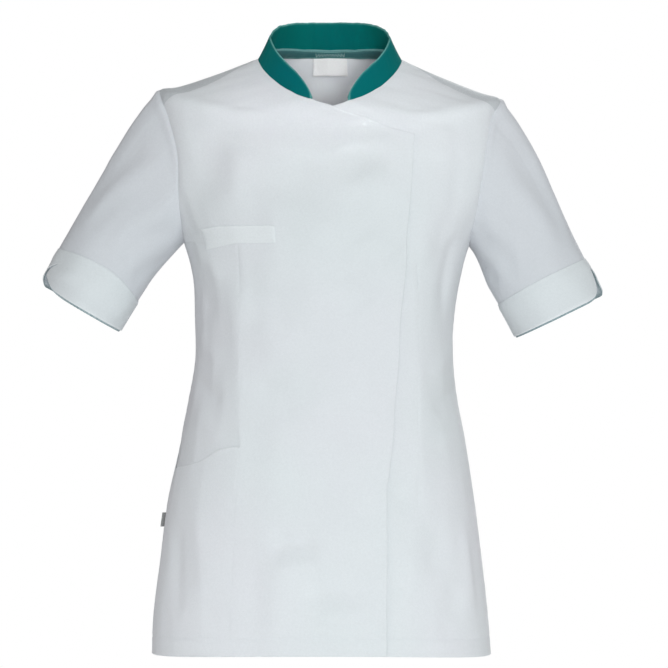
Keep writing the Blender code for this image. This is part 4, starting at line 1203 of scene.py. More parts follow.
# %% Folds of the sleeves: height and half-width in mm, then the path's marks, each a turn in degrees
# and a share of the way down the arm
ARM_FOLDS = {
    "right": folds(
        (-2.2, 8, 150, 0.06, 128, 0.30, 108, 0.62, 100, 0.86),
        (1.8, 8, 132, 0.05, 112, 0.26, 92, 0.55, 84, 0.80),
        (-1.7, 10, 112, 0.10, 84, 0.30, 62, 0.56, 52, 0.84),
        (1.5, 9, 80, 0.06, 62, 0.26, 44, 0.56, 38, 0.86),
        (-1.3, 10, 48, 0.16, 34, 0.42, 24, 0.74),
        (-1.6, 7, 172, 0.2, 156, 0.42, 140, 0.7, 132, 0.9),
        (1.2, 8, 14, 0.30, 8, 0.55, 10, 0.85),
        (-2.0, 9, -150, 0.08, -124, 0.34, -104, 0.66, -96, 0.88),
        (1.7, 9, -128, 0.08, -98, 0.30, -76, 0.62, -70, 0.86),
        (-1.6, 10, -96, 0.12, -66, 0.36, -48, 0.66, -44, 0.86),
        (1.2, 10, -56, 0.2, -34, 0.45, -26, 0.78),
    ),
    "left": folds(
        (-2.0, 8, 152, 0.08, 134, 0.32, 120, 0.6, 112, 0.84),
        (1.7, 9, 136, 0.04, 118, 0.26, 102, 0.5, 96, 0.74),
        (-1.5, 9, 118, 0.12, 98, 0.34, 78, 0.6, 70, 0.82),
        (1.6, 10, 92, 0.10, 70, 0.32, 58, 0.6, 52, 0.88),
        (-1.4, 11, 60, 0.12, 46, 0.36, 36, 0.66, 34, 0.86),
        (1.2, 9, 28, 0.24, 20, 0.5, 18, 0.82),
        (-1.5, 7, 170, 0.26, 152, 0.5, 142, 0.76),
        (-1.9, 9, -146, 0.06, -126, 0.30, -112, 0.6, -108, 0.86),
        (1.8, 9, -126, 0.10, -104, 0.34, -86, 0.66, -80, 0.88),
        (-1.6, 11, -90, 0.10, -62, 0.34, -42, 0.62, -36, 0.82),
        (1.1, 9, -40, 0.22, -20, 0.5, -14, 0.8),
    ),
}
HEAD_ROLL = (1.3, 5.5, 4.5)     # height of the roll, its distance from the seam and its half-width


def sewn_edge(path, dip=SEAM_DIP):
    """Where drape() puts the points of a seam, for a piece that is sewn on there."""
    angle, level = path.T
    place = body_point(angle, level)
    out = folds_at(angle, level) - dip + SEAM_PUCKER * pucker(place)
    return place + body_normal(angle, level) * out[:, None]


# %% A grid of points as triangles, and outward directions on a grid
def grid_triangles(numbers, skip=()):
    """numbers is an array of point numbers by row and column; columns in skip aren't joined on."""
    triangles = []
    for row in range(numbers.shape[0] - 1):
        for column in range(numbers.shape[1] - 1):
            if column not in skip:
                a, b = numbers[row, column], numbers[row, column + 1]
                d, c = numbers[row + 1, column], numbers[row + 1, column + 1]
                triangles += [(a, b, c), (a, c, d)] if (row + column) % 2 else [(a, b, d), (b, c, d)]
    return np.array(triangles)


def facing_out(triangles, points, directions):
    """The same triangles, turned over if they run the wrong way for the directions."""
    a, b, c = (points[triangles[:, corner]] for corner in range(3))
    agree = (np.cross(b - a, c - a) * directions[triangles[:, 0]]).sum()
    return triangles if agree > 0 else triangles[:, ::-1]


def counted(shape):
    return np.arange(np.prod(shape)).reshape(shape)


def grid_cloth(name, numbers, points, out, along, up, thick, painted_edge_mask, material, bulge, skip=()):
    """A piece from a grid of points; along and up are their places on the flat cloth, in mm."""
    flat_points = points.reshape(-1, 3)
    triangles = facing_out(grid_triangles(numbers, skip), flat_points, out.reshape(-1, 3))
    along, up, thick, painted_edge_mask = (np.broadcast_to(values, numbers.shape).ravel()
                              for values in (along, up, thick, painted_edge_mask))
    place = np.stack((along, up), axis=1)
    return cloth_object(name, flat_points, triangles, thick, place, painted_edge_mask, [material], bulge)


def draw_in(points):
    """Pull the first and the last column of a grid a little towards the ones beside them."""
    points[:, 0] += unit(points[:, 1] - points[:, 0]) * SEAM_GAP
    points[:, -1] += unit(points[:, -2] - points[:, -1]) * SEAM_GAP


def along_columns(points):
    """Distance travelled down each column of a grid of points."""
    steps = np.linalg.norm(np.diff(points, axis=0), axis=2)
    return np.concatenate((np.zeros((1, points.shape[1])), np.cumsum(steps, axis=0)))


def resampled(points, distances):
    """The same columns with rows at the given distances, an array by row and column."""
    travelled = along_columns(points)
    columns = []
    for column in range(points.shape[1]):
        columns.append([np.interp(distances[:, column], travelled[:, column], points[:, column, axis])
                        for axis in range(3)])
    return np.moveaxis(np.array(columns), (0, 1, 2), (1, 2, 0))


# %% Make a sleeve
SLEEVE_ROWS = 44
SLEEVE_FIRST_ROWS = (0, 1.2, 2.8, 5.0)


def sleeve_form(arm):
    """Dense rows of points from the armhole to the tuck under the cuff, and each column's turn."""
    loop = np.concatenate((SEAMS["arm_front_" + arm.side], SEAMS["arm_top_" + arm.side][1:],
                           SEAMS["arm_back_" + arm.side][1:]))
    start = sewn_edge(loop, 0.0)
    top = int(np.argmax(start[:, 2]))
    travelled = travelled_along(start)
    front_part = travelled / travelled[top]
    back_part = (travelled - travelled[top]) / (travelled[-1] - travelled[top])
    turn = np.where(np.arange(len(start)) <= top, pi * (1 - front_part), -pi * back_part)
    upper, end, down, _ = arm_axes(arm)
    full = np.linalg.norm(end - upper)
    finish = arm_point(arm, turn, np.full(len(turn), full))
    sign = np.sign(arm.end_x)
    over = ((1 + np.cos(turn)) / 2)[:, None]
    head = np.array((sign * HEAD_SLOPE[0], 0, -HEAD_SLOPE[1]))
    pit = np.array((sign * PIT_SLOPE[0], 0, -PIT_SLOPE[1]))
    pull = CAP_PULL * (PIT_PULL_SHARE + (1 - PIT_PULL_SHARE) * over)
    leave = unit(head * over + pit * (1 - over)) * pull
    arrive = down * np.linalg.norm(finish - start, axis=1)[:, None] * CAP_END_PULL
    rows = []
    for t in np.linspace(0, 1, 90):
        a, b, c, d = hermite(t)
        rows.append(a * start + b * leave + c * finish + d * arrive)
    for height in np.linspace(full, SLEEVE_TUCK + 0.3, 12)[1:]:
        rows.append(arm_point(arm, turn, np.full(len(turn), height)))
    form = np.array(rows)
    sewn_on = smooth(np.arange(len(form)) / 10)[:, None, None]
    form += (trimmed(arm, form, turn) - form) * sewn_on
    return form, turn, body_normal(loop[:, 0], loop[:, 1])


def arm_folds(arm, turn, down, lengths):
    """Height of the sleeve's folds; down is the distance from the armhole."""
    total = np.zeros(turn.shape)
    for fold in ARM_FOLDS[arm.side]:
        path = smooth_path(fold.path, ARM_FOLD_POINTS)
        middle = radians(path[:, 0].mean())
        swing = (turn - middle + pi) % (2 * pi) - pi
        order = np.argsort(turn[0])
        length = np.interp(np.radians(path[:, 0]), turn[0][order], lengths[order])
        flat = np.stack(((np.radians(path[:, 0]) - middle) * ARM_RADIUS, path[:, 1] * length), axis=1)
        total += fold_profile((swing * ARM_RADIUS).ravel(), down.ravel(), flat, fold.height,
                              fold.width).reshape(turn.shape)
    return total


def make_sleeve(arm):
    form, turn, body_out = sleeve_form(arm)
    lengths = along_columns(form)[-1]
    first = np.array(SLEEVE_FIRST_ROWS)[:, None] * np.ones(len(turn))
    rest = first[-1] + (lengths - first[-1]) * np.linspace(0, 1, SLEEVE_ROWS - len(first) + 1)[1:, None]
    down = np.concatenate((first, rest))
    points = resampled(form, down)
    turns = np.broadcast_to(turn, down.shape)
    out = unit(np.cross(np.gradient(points, axis=0), np.gradient(points, axis=1)))
    middle = points.mean(axis=1, keepdims=True)
    out *= np.sign((out * (points - middle)).sum())
    height = arm_folds(arm, turns, down, lengths)
    size, away, width = HEAD_ROLL
    height += size * np.clip(np.cos(turns * 0.8), 0, 1) * bell(down - away, width) * smooth(down / 4)
    waves = pucker(points.reshape(-1, 3)).reshape(down.shape)
    height += SEAM_PUCKER * bell(down, PUCKER_WIDTH) * waves * smooth(down / 3)
    height *= smooth((lengths - down - (cuff_depth(arm, turns) - SLEEVE_TUCK)) / 22)
    under_seam = (pi - np.abs(turns)) * ARM_RADIUS
    height -= SEAM_DIP * bell(under_seam, SEAM_WIDTH) * smooth(down / 3)
    points = points + out * height[..., None]
    points -= body_out * (SEAM_DIP * bell(down, SEAM_WIDTH))[..., None]
    draw_in(points)
    points[0] += unit(points[1] - points[0]) * SEAM_GAP
    return grid_cloth("sleeve_cloth_" + arm.side, counted(down.shape), points, out,
                      turns * ARM_RADIUS, -down, CLOTH, 0.0, SLEEVE_TWILL_SHADED, 0.0)


# %% Bands round the sleeve's end: the cuff and its facing
Band = namedtuple("Band", "low_lift low_thick top_lift top_thick")     # at the slit, and at the upper edge
CUFF_BAND = Band(2.0, 1.3, 0.95, 0.7)
FACING_BAND = Band(0.25, 0.7, 0.25, 0.7)
CUFF_SHORT = 0.8                # how much the cuff stops short of the sleeve's end
BAND_STEPS = np.concatenate((np.arange(0, 14, 1.0), np.arange(14, 160, 3.5)))
BAND_LOW_ROWS = (0, 0.012, 0.03, 0.06, 0.10, 0.16, 0.24, 0.34, 0.46, 0.6, 0.75, 0.88, 1.0)
BAND_HIGH_ROWS = (0.2, 0.4, 0.6, 0.8, 0.92, 1.0)
FAR = 99.0                      # mm from the slit, for points above it
FOLD_BULGE = 0.5                # bulge of the narrow pieces' folded edges


def slit_edge(table, heights):
    levels, turns = np.array(table, dtype=float).T
    return np.interp(heights, levels, turns)


def make_band(name, arm, bottom, top, band, material, painted_edge_width):
    """A band that is open at its outer slit and joined under the arm; top None is the cuff's depth."""
    girth = 2 * pi * arm.end_r
    steps = np.append(BAND_STEPS * (girth / 2 / 161), girth / 2)
    half = len(steps)
    from_slit = np.concatenate((-steps[::-1], steps))
    behind = from_slit < 0
    behind[half - 1] = True
    part = np.abs(from_slit) / steps[-1]

    def turn_at(heights):
        above = heights - bottom * (heights < SLIT_DEPTH)
        edge = np.where(behind, slit_edge(arm.back_edge, above), slit_edge(arm.front_edge, above))
        return np.radians(edge + (np.where(behind, -180, 180) - edge) * part)

    at_slit_end = turn_at(np.full(len(part), float(SLIT_DEPTH)))
    upper = cuff_depth(arm, at_slit_end) if top is None else top + 0 * part
    heights = [bottom + (SLIT_DEPTH - bottom) * share + 0 * part for share in BAND_LOW_ROWS]
    heights += [SLIT_DEPTH + (upper - SLIT_DEPTH) * share for share in BAND_HIGH_ROWS]
    heights = np.array(heights)
    turns = turn_at(heights)
    raised = arm.tilt * (1 + np.cos(turns)) / 2 * np.clip(1 - heights / upper, 0, 1)
    points = trimmed(arm, arm_point(arm, turns, heights + raised), turns)
    upper_middle, _, down, _ = arm_axes(arm)
    middle = upper_middle + down * ((points - upper_middle) @ down)[..., None]
    out = unit(points - middle)
    thin = smooth((heights - SLIT_DEPTH - 2) / (upper - SLIT_DEPTH - 2))
    flared = arm.flare * np.exp(from_slit / 20) * behind * smooth((SLIT_DEPTH - heights) / 16)
    points = points + out * (band.low_lift + (band.top_lift - band.low_lift) * thin + flared)[..., None]
    draw_in(points)
    numbers = counted(heights.shape)
    closed_rows = np.arange(len(heights)) >= len(BAND_LOW_ROWS) - 1
    numbers[closed_rows, half] = numbers[closed_rows, half - 1]
    # painted edge along the slit and the lower edge: a painted highlight on the cuff, the dark teal edge on
    # the facing
    to_edge = np.minimum(heights - bottom, np.where(heights < SLIT_DEPTH, np.abs(from_slit), FAR))
    thick = band.low_thick + (band.top_thick - band.low_thick) * thin
    return grid_cloth(name, numbers, points, out, from_slit, heights, thick,
                      bell(to_edge, painted_edge_width), material, FOLD_BULGE, skip=(half - 1,))


sleeves = [make_sleeve(arm) for arm in ARMS]
cuffs = [make_band("cuff_band_" + arm.side, arm, CUFF_SHORT, None, CUFF_BAND, CUFF_TWILL_SHADED, EDGE_HIGHLIGHT_WIDTH)
         for arm in ARMS]
# the teal edge width comes from each arm; on the left it is widened as painted shade in the slit
facings = [make_band("cuff_lining_" + arm.side, arm, -arm.facing_show, SLEEVE_TUCK - 0.3, FACING_BAND,
                     FACING_CLOTH, arm.teal_edge) for arm in ARMS]

# %% [markdown]
# ## Collar, neck tape and label
#
# The stand collar is two layers, turned and pressed, so its top edge is round and a fine line runs
# between them. It stands on the neck seam, low at its front tips and highest at the sides. Inside,
# a narrow tape covers the seam across the back, and the blank label hangs from it.

# %% Collar
Stand = namedtuple("Stand", "away rise lean")
COLLAR = (Stand(15, 3.0, 0), Stand(17, 10, 2), Stand(21, 17, 4), Stand(30, 25.5, 6), Stand(45, 29, 8),
          Stand(60, 29, 10.2), Stand(75, 28.6, 12.4), Stand(90, 27.2, 13.3), Stand(105, 32.2, 14.6),
          Stand(120, 34.8, 14.6), Stand(135, 34.6, 12.4), Stand(150, 33.6, 9), Stand(180, 32.2, 6))
COLLAR_BOW = 0.25               # how much earlier than straight it leans in
COLLAR_ROWS = (0, 0.04, 0.1, 0.2, 0.3, 0.4, 0.5, 0.6, 0.7, 0.8, 0.88, 0.95, 1.0)
COLLAR_LAYER = 0.95
COLLAR_EDGE_HIGHLIGHT = 0.9                # width of the painted highlight along its edges


def rounded_table(rows, at):
    """Smooth reading of a table whose first column is the place; never overshoots its rows."""
    rows = np.array(rows, dtype=float)
    place = rows[:, 0]
    rises = np.diff(rows, axis=0) / np.diff(place)[:, None]
    slopes = np.zeros_like(rows)
    before, after = rises[:-1], rises[1:]
    same_way = before * after > 0
    slopes[1:-1] = np.where(same_way, 2 * before * after / np.where(same_way, before + after, 1), 0)
    slopes[0], slopes[-1] = rises[0], 0
    below = np.clip(np.searchsorted(place, at, side="right") - 1, 0, len(place) - 2)
    step = (place[below + 1] - place[below])[:, None]
    start, leave, end, arrive = hermite((at - place[below])[:, None] / step)
    return (start * rows[below] + leave * step * slopes[below] + end * rows[below + 1]
            + arrive * step * slopes[below + 1])[:, 1:].T


def make_collar_layer(name, lift):
    neck = np.concatenate((SEAMS["neck_left"][::-1], SEAMS["neck_back"][1:-1],
                           shifted(SEAMS["neck_right"])))
    neck = even_steps(neck, 2.4)
    degrees_round = np.degrees(neck[:, 0])
    away = np.minimum(degrees_round, 360 - degrees_round)
    rise, lean = rounded_table(COLLAR, away)
    loose = ramp(away, 20, 40)              # the front tips are pressed flat
    rise = rise + 0.2 * np.sin(neck[:, 0] * 5 + 1) * loose
    base = sewn_edge(neck, 0.3)
    inward = neck_inward(base)
    rows = []
    for up in COLLAR_ROWS:
        bow = lean * (up + COLLAR_BOW * up * (1 - up)) + 0.25 * up * np.sin(neck[:, 0] * 7 + 2) * loose
        rows.append(base + inward * bow[:, None] + np.array((0, 0, 1)) * (rise * up)[:, None])
    points = np.array(rows)
    out = unit(np.cross(np.gradient(points, axis=1), (points[-1] - points[0])[None]))
    out *= -np.sign((out * inward).sum())
    puffed = 0.3 * np.sin(pi * np.array(COLLAR_ROWS))[:, None, None]
    points = points + out * (lift + puffed * (1 if lift > -0.5 else -1))
    up_cloth = rise * np.array(COLLAR_ROWS)[:, None]
    along = np.broadcast_to(travelled_along(base), up_cloth.shape)
    to_edge = np.minimum(rise - up_cloth, np.minimum(along, along[:, -1:] - along))
    # painted highlight along the collar's edges
    return grid_cloth(name, counted(up_cloth.shape), points, out, along, up_cloth, COLLAR_LAYER,
                      bell(to_edge, COLLAR_EDGE_HIGHLIGHT), TEAL_TWILL, EDGE_BULGE)


collar_outer = make_collar_layer("collar_cloth_outer", 0.0)
collar_inner = make_collar_layer("collar_cloth_inner", -COLLAR_LAYER - 0.15)

# %% Tape over the neck seam, and the label that hangs from it
TAPE_WIDTH, TAPE_DEPTH, TAPE_THICK = 9.5, 2.0, 0.8
# degrees from centre back, then the heights of the tape's lower and upper edge
TAPE_EDGES = ((0, -9.5, 0.0), (20, -8.0, 1.5), (34, -6.0, 3.9), (49, -4.6, 6.4), (82, -4.3, 9.0))
COLLAR_INSIDE = 2.2             # from the neck seam in to the collar's inner face
TAPE_ENDS = (98, 262)           # degrees from centre front, round the back
NECK_RADIUS = 75                # to measure along the tape
LABEL_WIDTH, LABEL_HEIGHT, LABEL_DEPTH, LABEL_THICK = 39.0, 21.0, 3.0, 0.5
LABEL_TUCK = 0.4                # how far the label runs up behind the tape's edge
centre_back = np.array([pi])
drop = body_point(centre_back, np.array([NECK - 10.0])) - body_point(centre_back, np.array([float(NECK)]))
LEVEL_PER_MM = 10.0 / np.linalg.norm(drop)


def inside_patch(angles, levels, depth):
    """Points inside the back neck; depth is measured in from the cloth's outer face."""
    flat_angles, flat_levels = angles.ravel(), levels.ravel()
    out = body_normal(flat_angles, flat_levels)
    base = body_point(flat_angles, flat_levels) + out * folds_at(flat_angles, flat_levels)[:, None]
    return base - out * depth.ravel()[:, None], out


def lining_point(angles, above, depth):
    """Points inside the back neck by height above its seam: on the yoke, and then up the collar."""
    flat_angles, flat_above = angles.ravel(), above.ravel()
    on_yoke, out = inside_patch(flat_angles, NECK + np.minimum(flat_above, 0) * LEVEL_PER_MM, depth)
    up_collar = body_point(flat_angles, np.full(len(flat_angles), float(NECK)))
    inward = neck_inward(up_collar)
    rise, lean = rounded_table(COLLAR, 180 - np.abs(180 - np.degrees(flat_angles)))
    slope = lean / rise * (1 + COLLAR_BOW)
    up_collar += inward * (COLLAR_INSIDE + depth.ravel() - TAPE_DEPTH + slope * flat_above)[:, None]
    up_collar[:, 2] += flat_above
    share = smooth((flat_above + 2) / 3)[:, None]
    return on_yoke * (1 - share) + up_collar * share, unit(out * (1 - share) - inward * share)


def tape_height(angles, rows):
    """Height above the neck seam; the tape climbs the collar a little on both sides of the label."""
    away = np.abs(np.degrees(angles) - 180)
    low, high = rounded_table(TAPE_EDGES, away.ravel()).reshape(2, *angles.shape)
    return low + (high - low) * rows


tape_rows = np.array((0, 0.08, 0.2, 0.35, 0.5, 0.65, 0.8, 0.92, 1.0))
tape_turns = np.radians(np.linspace(TAPE_ENDS[0], TAPE_ENDS[1], 110))
angles, rows = np.meshgrid(tape_turns, tape_rows)
tape_depth = TAPE_DEPTH + 0.25 * np.sin(pi * rows)      # a little domed
tape_points, tape_out = lining_point(angles, tape_height(angles, rows), tape_depth)
# painted highlight along the tape's upper and lower edges
tape_edge_highlight = bell((1 - rows) * TAPE_WIDTH, 1.5) + 0.8 * bell(rows * TAPE_WIDTH, 0.7)
neck_tape = grid_cloth("neck_tape_strip", counted(angles.shape), tape_points, tape_out,
                       angles * NECK_RADIUS, rows * TAPE_WIDTH, TAPE_THICK, tape_edge_highlight, TAPE_CLOTH,
                       FOLD_BULGE)

label_low = NECK - (TAPE_WIDTH + LABEL_HEIGHT) * LEVEL_PER_MM
label_top = NECK - (TAPE_WIDTH - LABEL_TUCK) * LEVEL_PER_MM
across, up = np.meshgrid(np.linspace(-0.5, 0.5, 27), np.linspace(0, 1, 17))
levels = label_low + (label_top - label_low) * up
angles = pi - across * LABEL_WIDTH / ring_at(levels).half
hang = LABEL_DEPTH + 0.9 * (1 - up) ** 2 + 0.35 * np.sin(across * 9 + 0.7) * (1 - up)
neck_label = grid_cloth("neck_label_blank", counted(angles.shape), *inside_patch(angles, levels, hang),
                        across * LABEL_WIDTH, up * LABEL_HEIGHT, LABEL_THICK, 0.0, LABEL_SATIN, FOLD_BULGE)

# %% [markdown]
# ## Side tab
#
# A short ribbon is folded in half and caught in the right side seam, so only its loop shows.

# %% Side tab
TAB_LEVELS = (-525, -541)
TAB_REACH, TAB_THICK, TAB_RIBBON_THICK = 4.5, 2.0, 0.5
turns = np.linspace(-pi / 2, pi / 2, 11)
loop_out = np.concatenate(([0, 0.3, 0.6], 1 + 0.2 * np.cos(turns), [0.6, 0.3, 0])) * (TAB_REACH - 0.3) / 1.2
loop_side = np.concatenate(([-0.6, -0.9, -1], np.sin(turns), [1, 0.9, 0.6])) * TAB_THICK / 2
heights = np.linspace(TAB_LEVELS[1], TAB_LEVELS[0], 12)
foot = body_point(np.full(12, SIDE_R), heights)
columns = np.stack((foot[:, None, 0] - 0.3 - loop_out, foot[:, None, 1] - 1 + loop_side,
                    foot[:, None, 2] + 0 * loop_out), axis=-1)
tab_out = unit(np.stack((-np.gradient(loop_side), np.gradient(-loop_out), 0 * loop_out), axis=-1))
tab_out = np.broadcast_to(tab_out, columns.shape)
middle = np.array((foot[:, 0].mean() - 2.2, foot[:, 1].mean() - 1, heights.mean()))
tab_out = tab_out * np.sign((tab_out * (columns - middle)).sum())
side_tab = grid_cloth("side_tab_loop", counted(columns.shape[:2]), columns, tab_out,
                      travelled_along(columns[0]), heights[:, None], TAB_RIBBON_THICK, 0.0, TAB_RIBBON, 0.4)

# %% [markdown]
# ## Thread
#
# The rows of stitches are made by a small node tree: it sets a point at every stitch along a curve,
# turns it along the row and lays one short, slightly fat stitch there. Each row is then kept as a
# plain mesh.

# %% Node tree that sews a row
def stitch_tree():
    tree = bpy.data.node_groups.new("sew_a_row", "GeometryNodeTree")
    sockets = {}
    for name, kind, value in (("Row", "NodeSocketGeometry", None), ("Pitch", "NodeSocketFloat", 0.003),
                              ("Stitch size", "NodeSocketVector", (0.0003, 0.0003, 0.001)),
                              ("Thread", "NodeSocketMaterial", None)):
        sockets[name] = tree.interface.new_socket(name, in_out="INPUT", socket_type=kind)
        if value is not None:
            sockets[name].default_value = value
    tree.interface.new_socket("Stitches", in_out="OUTPUT", socket_type="NodeSocketGeometry")
    start, end = tree.nodes.new("NodeGroupInput"), tree.nodes.new("NodeGroupOutput")
    points = tree.nodes.new("GeometryNodeCurveToPoints")
    points.mode = "LENGTH"
    turn = tree.nodes.new("FunctionNodeAlignRotationToVector")
    turn.axis = "Z"
    ball = tree.nodes.new("GeometryNodeMeshUVSphere")
    ball.inputs["Segments"].default_value, ball.inputs["Rings"].default_value = 6, 5
    ball.inputs["Radius"].default_value = 1.0
    lay = tree.nodes.new("GeometryNodeInstanceOnPoints")
    real = tree.nodes.new("GeometryNodeRealizeInstances")
    smoothed = tree.nodes.new("GeometryNodeSetShadeSmooth")
    paint = tree.nodes.new("GeometryNodeSetMaterial")
    for source, output, target, socket in (
            (start, "Row", points, "Curve"), (start, "Pitch", points, "Length"),
            (points, "Points", lay, "Points"), (points, "Tangent", turn, "Vector"),
            (turn, "Rotation", lay, "Rotation"), (ball, "Mesh", lay, "Instance"),
            (start, "Stitch size", lay, "Scale"), (lay, "Instances", smoothed, "Geometry"),
            (smoothed, "Geometry", real, "Geometry"), (real, "Geometry", paint, "Geometry"),
            (start, "Thread", paint, "Material"), (paint, "Geometry", end, "Stitches")):
        tree.links.new(source.outputs[output], target.inputs[socket])
    return tree, {name: socket.identifier for name, socket in sockets.items()}


SEW, SEW_INPUTS = stitch_tree()


def sew(name, rows, thread, pitch=3.0, length=2.3, thick=0.5):
    """rows is a list of lines in mm; pitch, length and thickness of a stitch are in mm too."""
    curve = bpy.data.curves.new(name + "_row", "CURVE")
    curve.dimensions = "3D"
    for row in rows:
        spline = curve.splines.new("POLY")
        spline.points.add(len(row) - 1)
        spline.points.foreach_set("co", np.concatenate((row * MM, np.ones((len(row), 1))), axis=1).ravel())
    line = bpy.data.objects.new(name + "_row", curve)
    bpy.context.collection.objects.link(line)
    sewing = line.modifiers.new("sew", "NODES")
    sewing.node_group = SEW
    sewing[SEW_INPUTS["Pitch"]] = pitch * MM
    sewing[SEW_INPUTS["Stitch size"]] = (thick / 2 * MM, thick / 2 * MM, length / 2 * MM)
    sewing[SEW_INPUTS["Thread"]] = thread
    made = line.evaluated_get(bpy.context.evaluated_depsgraph_get())
    mesh = bpy.data.meshes.new_from_object(made)
    bpy.data.objects.remove(line)
    piece = bpy.data.objects.new(name, mesh)
    bpy.context.collection.objects.link(piece)
    print(name, len(mesh.polygons), "faces")
    return piece


# %% Sew the rows on the body
def on_cloth(path, sunk, lift=None):
    """A row on the outer face of the body's cloth, sunk below it in mm."""
    angle, level = path.T
    place = body_point(angle, level)
    out = folds_at(angle, level) - sunk
    if lift is not None:
        out += lift(place)
    return place + body_normal(angle, level) * out[:, None]


HEM_TRIM, THREAD_SUNK = 0.03, 0.2       # radians left out at both ends, and how deep the thread lies
HEM_ROWS = [on_cloth(hem_line("hem_right", HEM_TRIM), THREAD_SUNK, wrap_lift)]
HEM_ROWS += [on_cloth(hem_line(name, HEM_TRIM), THREAD_SUNK)
             for name in ("hem_left", "hem_back", "hem_side")]
hem_stitches = sew("hem_stitches", HEM_ROWS, WHITE_THREAD)


def between_marks(a, b, inset=0.0):
    """A straight row between two marks of the welt, moved towards its middle."""
    middle = np.mean(welt_marks, axis=0)
    ends = [np.array(mark) + (middle - np.array(mark)) * inset for mark in (a, b)]
    return on_cloth(seam(ends), 0.05, welt_lift)


WELT_INSET = 0.06               # how far its rows lie towards the middle, as a share of the way
welt_rows = [between_marks(welt_marks[a], welt_marks[b], WELT_INSET) for a, b in ((2, 3), (0, 5))]
welt_stitches = sew("welt_stitches", welt_rows, WHITE_THREAD, 2.6, 2.0, 0.4)

# %% Rows on the tape and the label
TAPE_ROW_POINTS, TAPE_TRIM, TAPE_ROWS = 160, 1.5, (0.12, 0.84)      # degrees, shares of its width
tape_turn = np.linspace(radians(TAPE_ENDS[0] + TAPE_TRIM), radians(TAPE_ENDS[1] - TAPE_TRIM),
                        TAPE_ROW_POINTS)
on_tape = np.full(TAPE_ROW_POINTS, TAPE_DEPTH + TAPE_THICK + 0.3)
tape_lines = [lining_point(tape_turn, tape_height(tape_turn, part), on_tape)[0] for part in TAPE_ROWS]
tape_stitches = sew("tape_stitches", tape_lines, TEAL_THREAD, 2.6, 1.9, 0.5)
ZIGZAG_POINTS, ZIGZAG_MIDDLE, ZIGZAG_HALF = 21, 4.5, 1.9        # mm above the tape's lower edge
steps = np.arange(ZIGZAG_POINTS)
label_radius = float(ring_at(np.array(float(label_top))).half)
label_turn = pi - (steps / (ZIGZAG_POINTS - 1) - 0.5) * 0.98 * LABEL_WIDTH / label_radius
zigzag_height = ZIGZAG_MIDDLE + ZIGZAG_HALF * (-1.0) ** steps - TAPE_WIDTH
zigzag = lining_point(label_turn, zigzag_height, on_tape[:ZIGZAG_POINTS])[0]
label_stitches = sew("label_stitches", [zigzag], LIGHT_THREAD, 1.7, 1.5, 0.65)

# %% [markdown]
# ## Light and floor
#
# The studio is white all round, so the cloth is lit softly from every side. A large softbox at the
# front makes the faces that look at us a little brighter than the sides.

# %% World, softboxes and floor
STUDIO = 0.425                  # how strongly the white room lights the cloth; it looks pure white itself
bpy.context.scene.view_settings.view_transform = "Standard"     # white stays white, as in the picture
world = bpy.data.worlds.new("white_studio")
bpy.context.scene.world = world
world.use_nodes = True
background = world.node_tree.nodes["Background"]
background.inputs["Color"].default_value = (1, 1, 1, 1)
seen = world.node_tree.nodes.new("ShaderNodeLightPath")
strength = maths(world.node_tree, "MULTIPLY_ADD", seen.outputs["Is Camera Ray"], 1 - STUDIO, STUDIO)
world.node_tree.links.new(strength, background.inputs["Strength"])


def softbox(name, size, place, aim, power, colour=(1, 1, 1), spread=180):
    light = bpy.data.lights.new(name, "AREA")
    light.shape, light.size, light.size_y, light.energy, light.color = "RECTANGLE", *size, power, colour
    light.spread = radians(spread)
    lamp = bpy.data.objects.new(name, light)
    bpy.context.collection.objects.link(lamp)
    lamp.location = place
    away = Vector(place) - Vector(aim)
    lamp.rotation_euler = away.to_track_quat("Z", "Y").to_euler()
    lamp.visible_camera = False
    return lamp


COOL, WARM = (0.92, 1.0, 1.0), (1.0, 0.97, 1.0)
softbox("front_softbox", (0.9, 0.6), (0.3, -4.2, -0.55), (0, 0, -0.35), 61, COOL)
softbox("high_softbox", (0.9, 0.7), (1.0, -2.8, 0.8), (0, 0, -0.25), 22, COOL)
softbox("neck_softbox", (0.3, 0.3), (0.06, -2.2, 0.62), (0.015, 0.07, 0.005), 0.06, spread=6.5)
softbox("back_softbox", (0.9, 0.8), (0.7, 3.2, 1.1), (0, 0, -0.3), 72, (0.95, 1.0, 1.0))
softbox("right_fill", (1.6, 1.6), (3.0, -1.2, -0.2), (0, 0, -0.4), 5.5, WARM)
softbox("left_fill", (1.6, 1.6), (-3.0, -1.6, -0.2), (0, 0, -0.4), 5, WARM)
softbox("right_hem_light", (0.4, 0.4), (2.7, -1.9, -0.9), (0.15, 0, -0.66), 0.045, WARM, spread=11)
softbox("left_hem_light", (0.4, 0.4), (-2.7, -1.9, -0.9), (-0.15, 0, -0.66), 0.07, WARM, spread=11)

bpy.ops.mesh.primitive_plane_add(size=12, location=(0, 0, -1.42))
floor = bpy.context.object
floor.name = "studio_floor"
floor_material, floor_tree, floor_shader = new_material("pale_floor")
grain = noise(floor_tree, object_place(floor_tree), 3.0)
floor_tree.links.new(mixed(floor_tree, grain, (0.88, 0.88, 0.88, 1), (0.93, 0.93, 0.93, 1)),
                     floor_shader.inputs["Base Color"])
floor_shader.inputs["Roughness"].default_value = 0.8
from_middle = add_node(floor_tree, "ShaderNodeVectorMath", operation="LENGTH",
                       _0=object_place(floor_tree)).outputs["Value"]
fading = mapped(floor_tree, from_middle, 0.6, 2.8, 1.0, 0.0)    # metres from the middle
floor_tree.links.new(fading, floor_shader.inputs["Alpha"])
floor.data.materials.append(floor_material)

# %% [markdown]
# ## The tunic as a part
#
# The table lists for every piece of cloth the solid of the plain model that it stands for, its finish,
# the size it was cut to before it was sewn, in millimetres, and what it hangs from; each such solid is
# hidden.

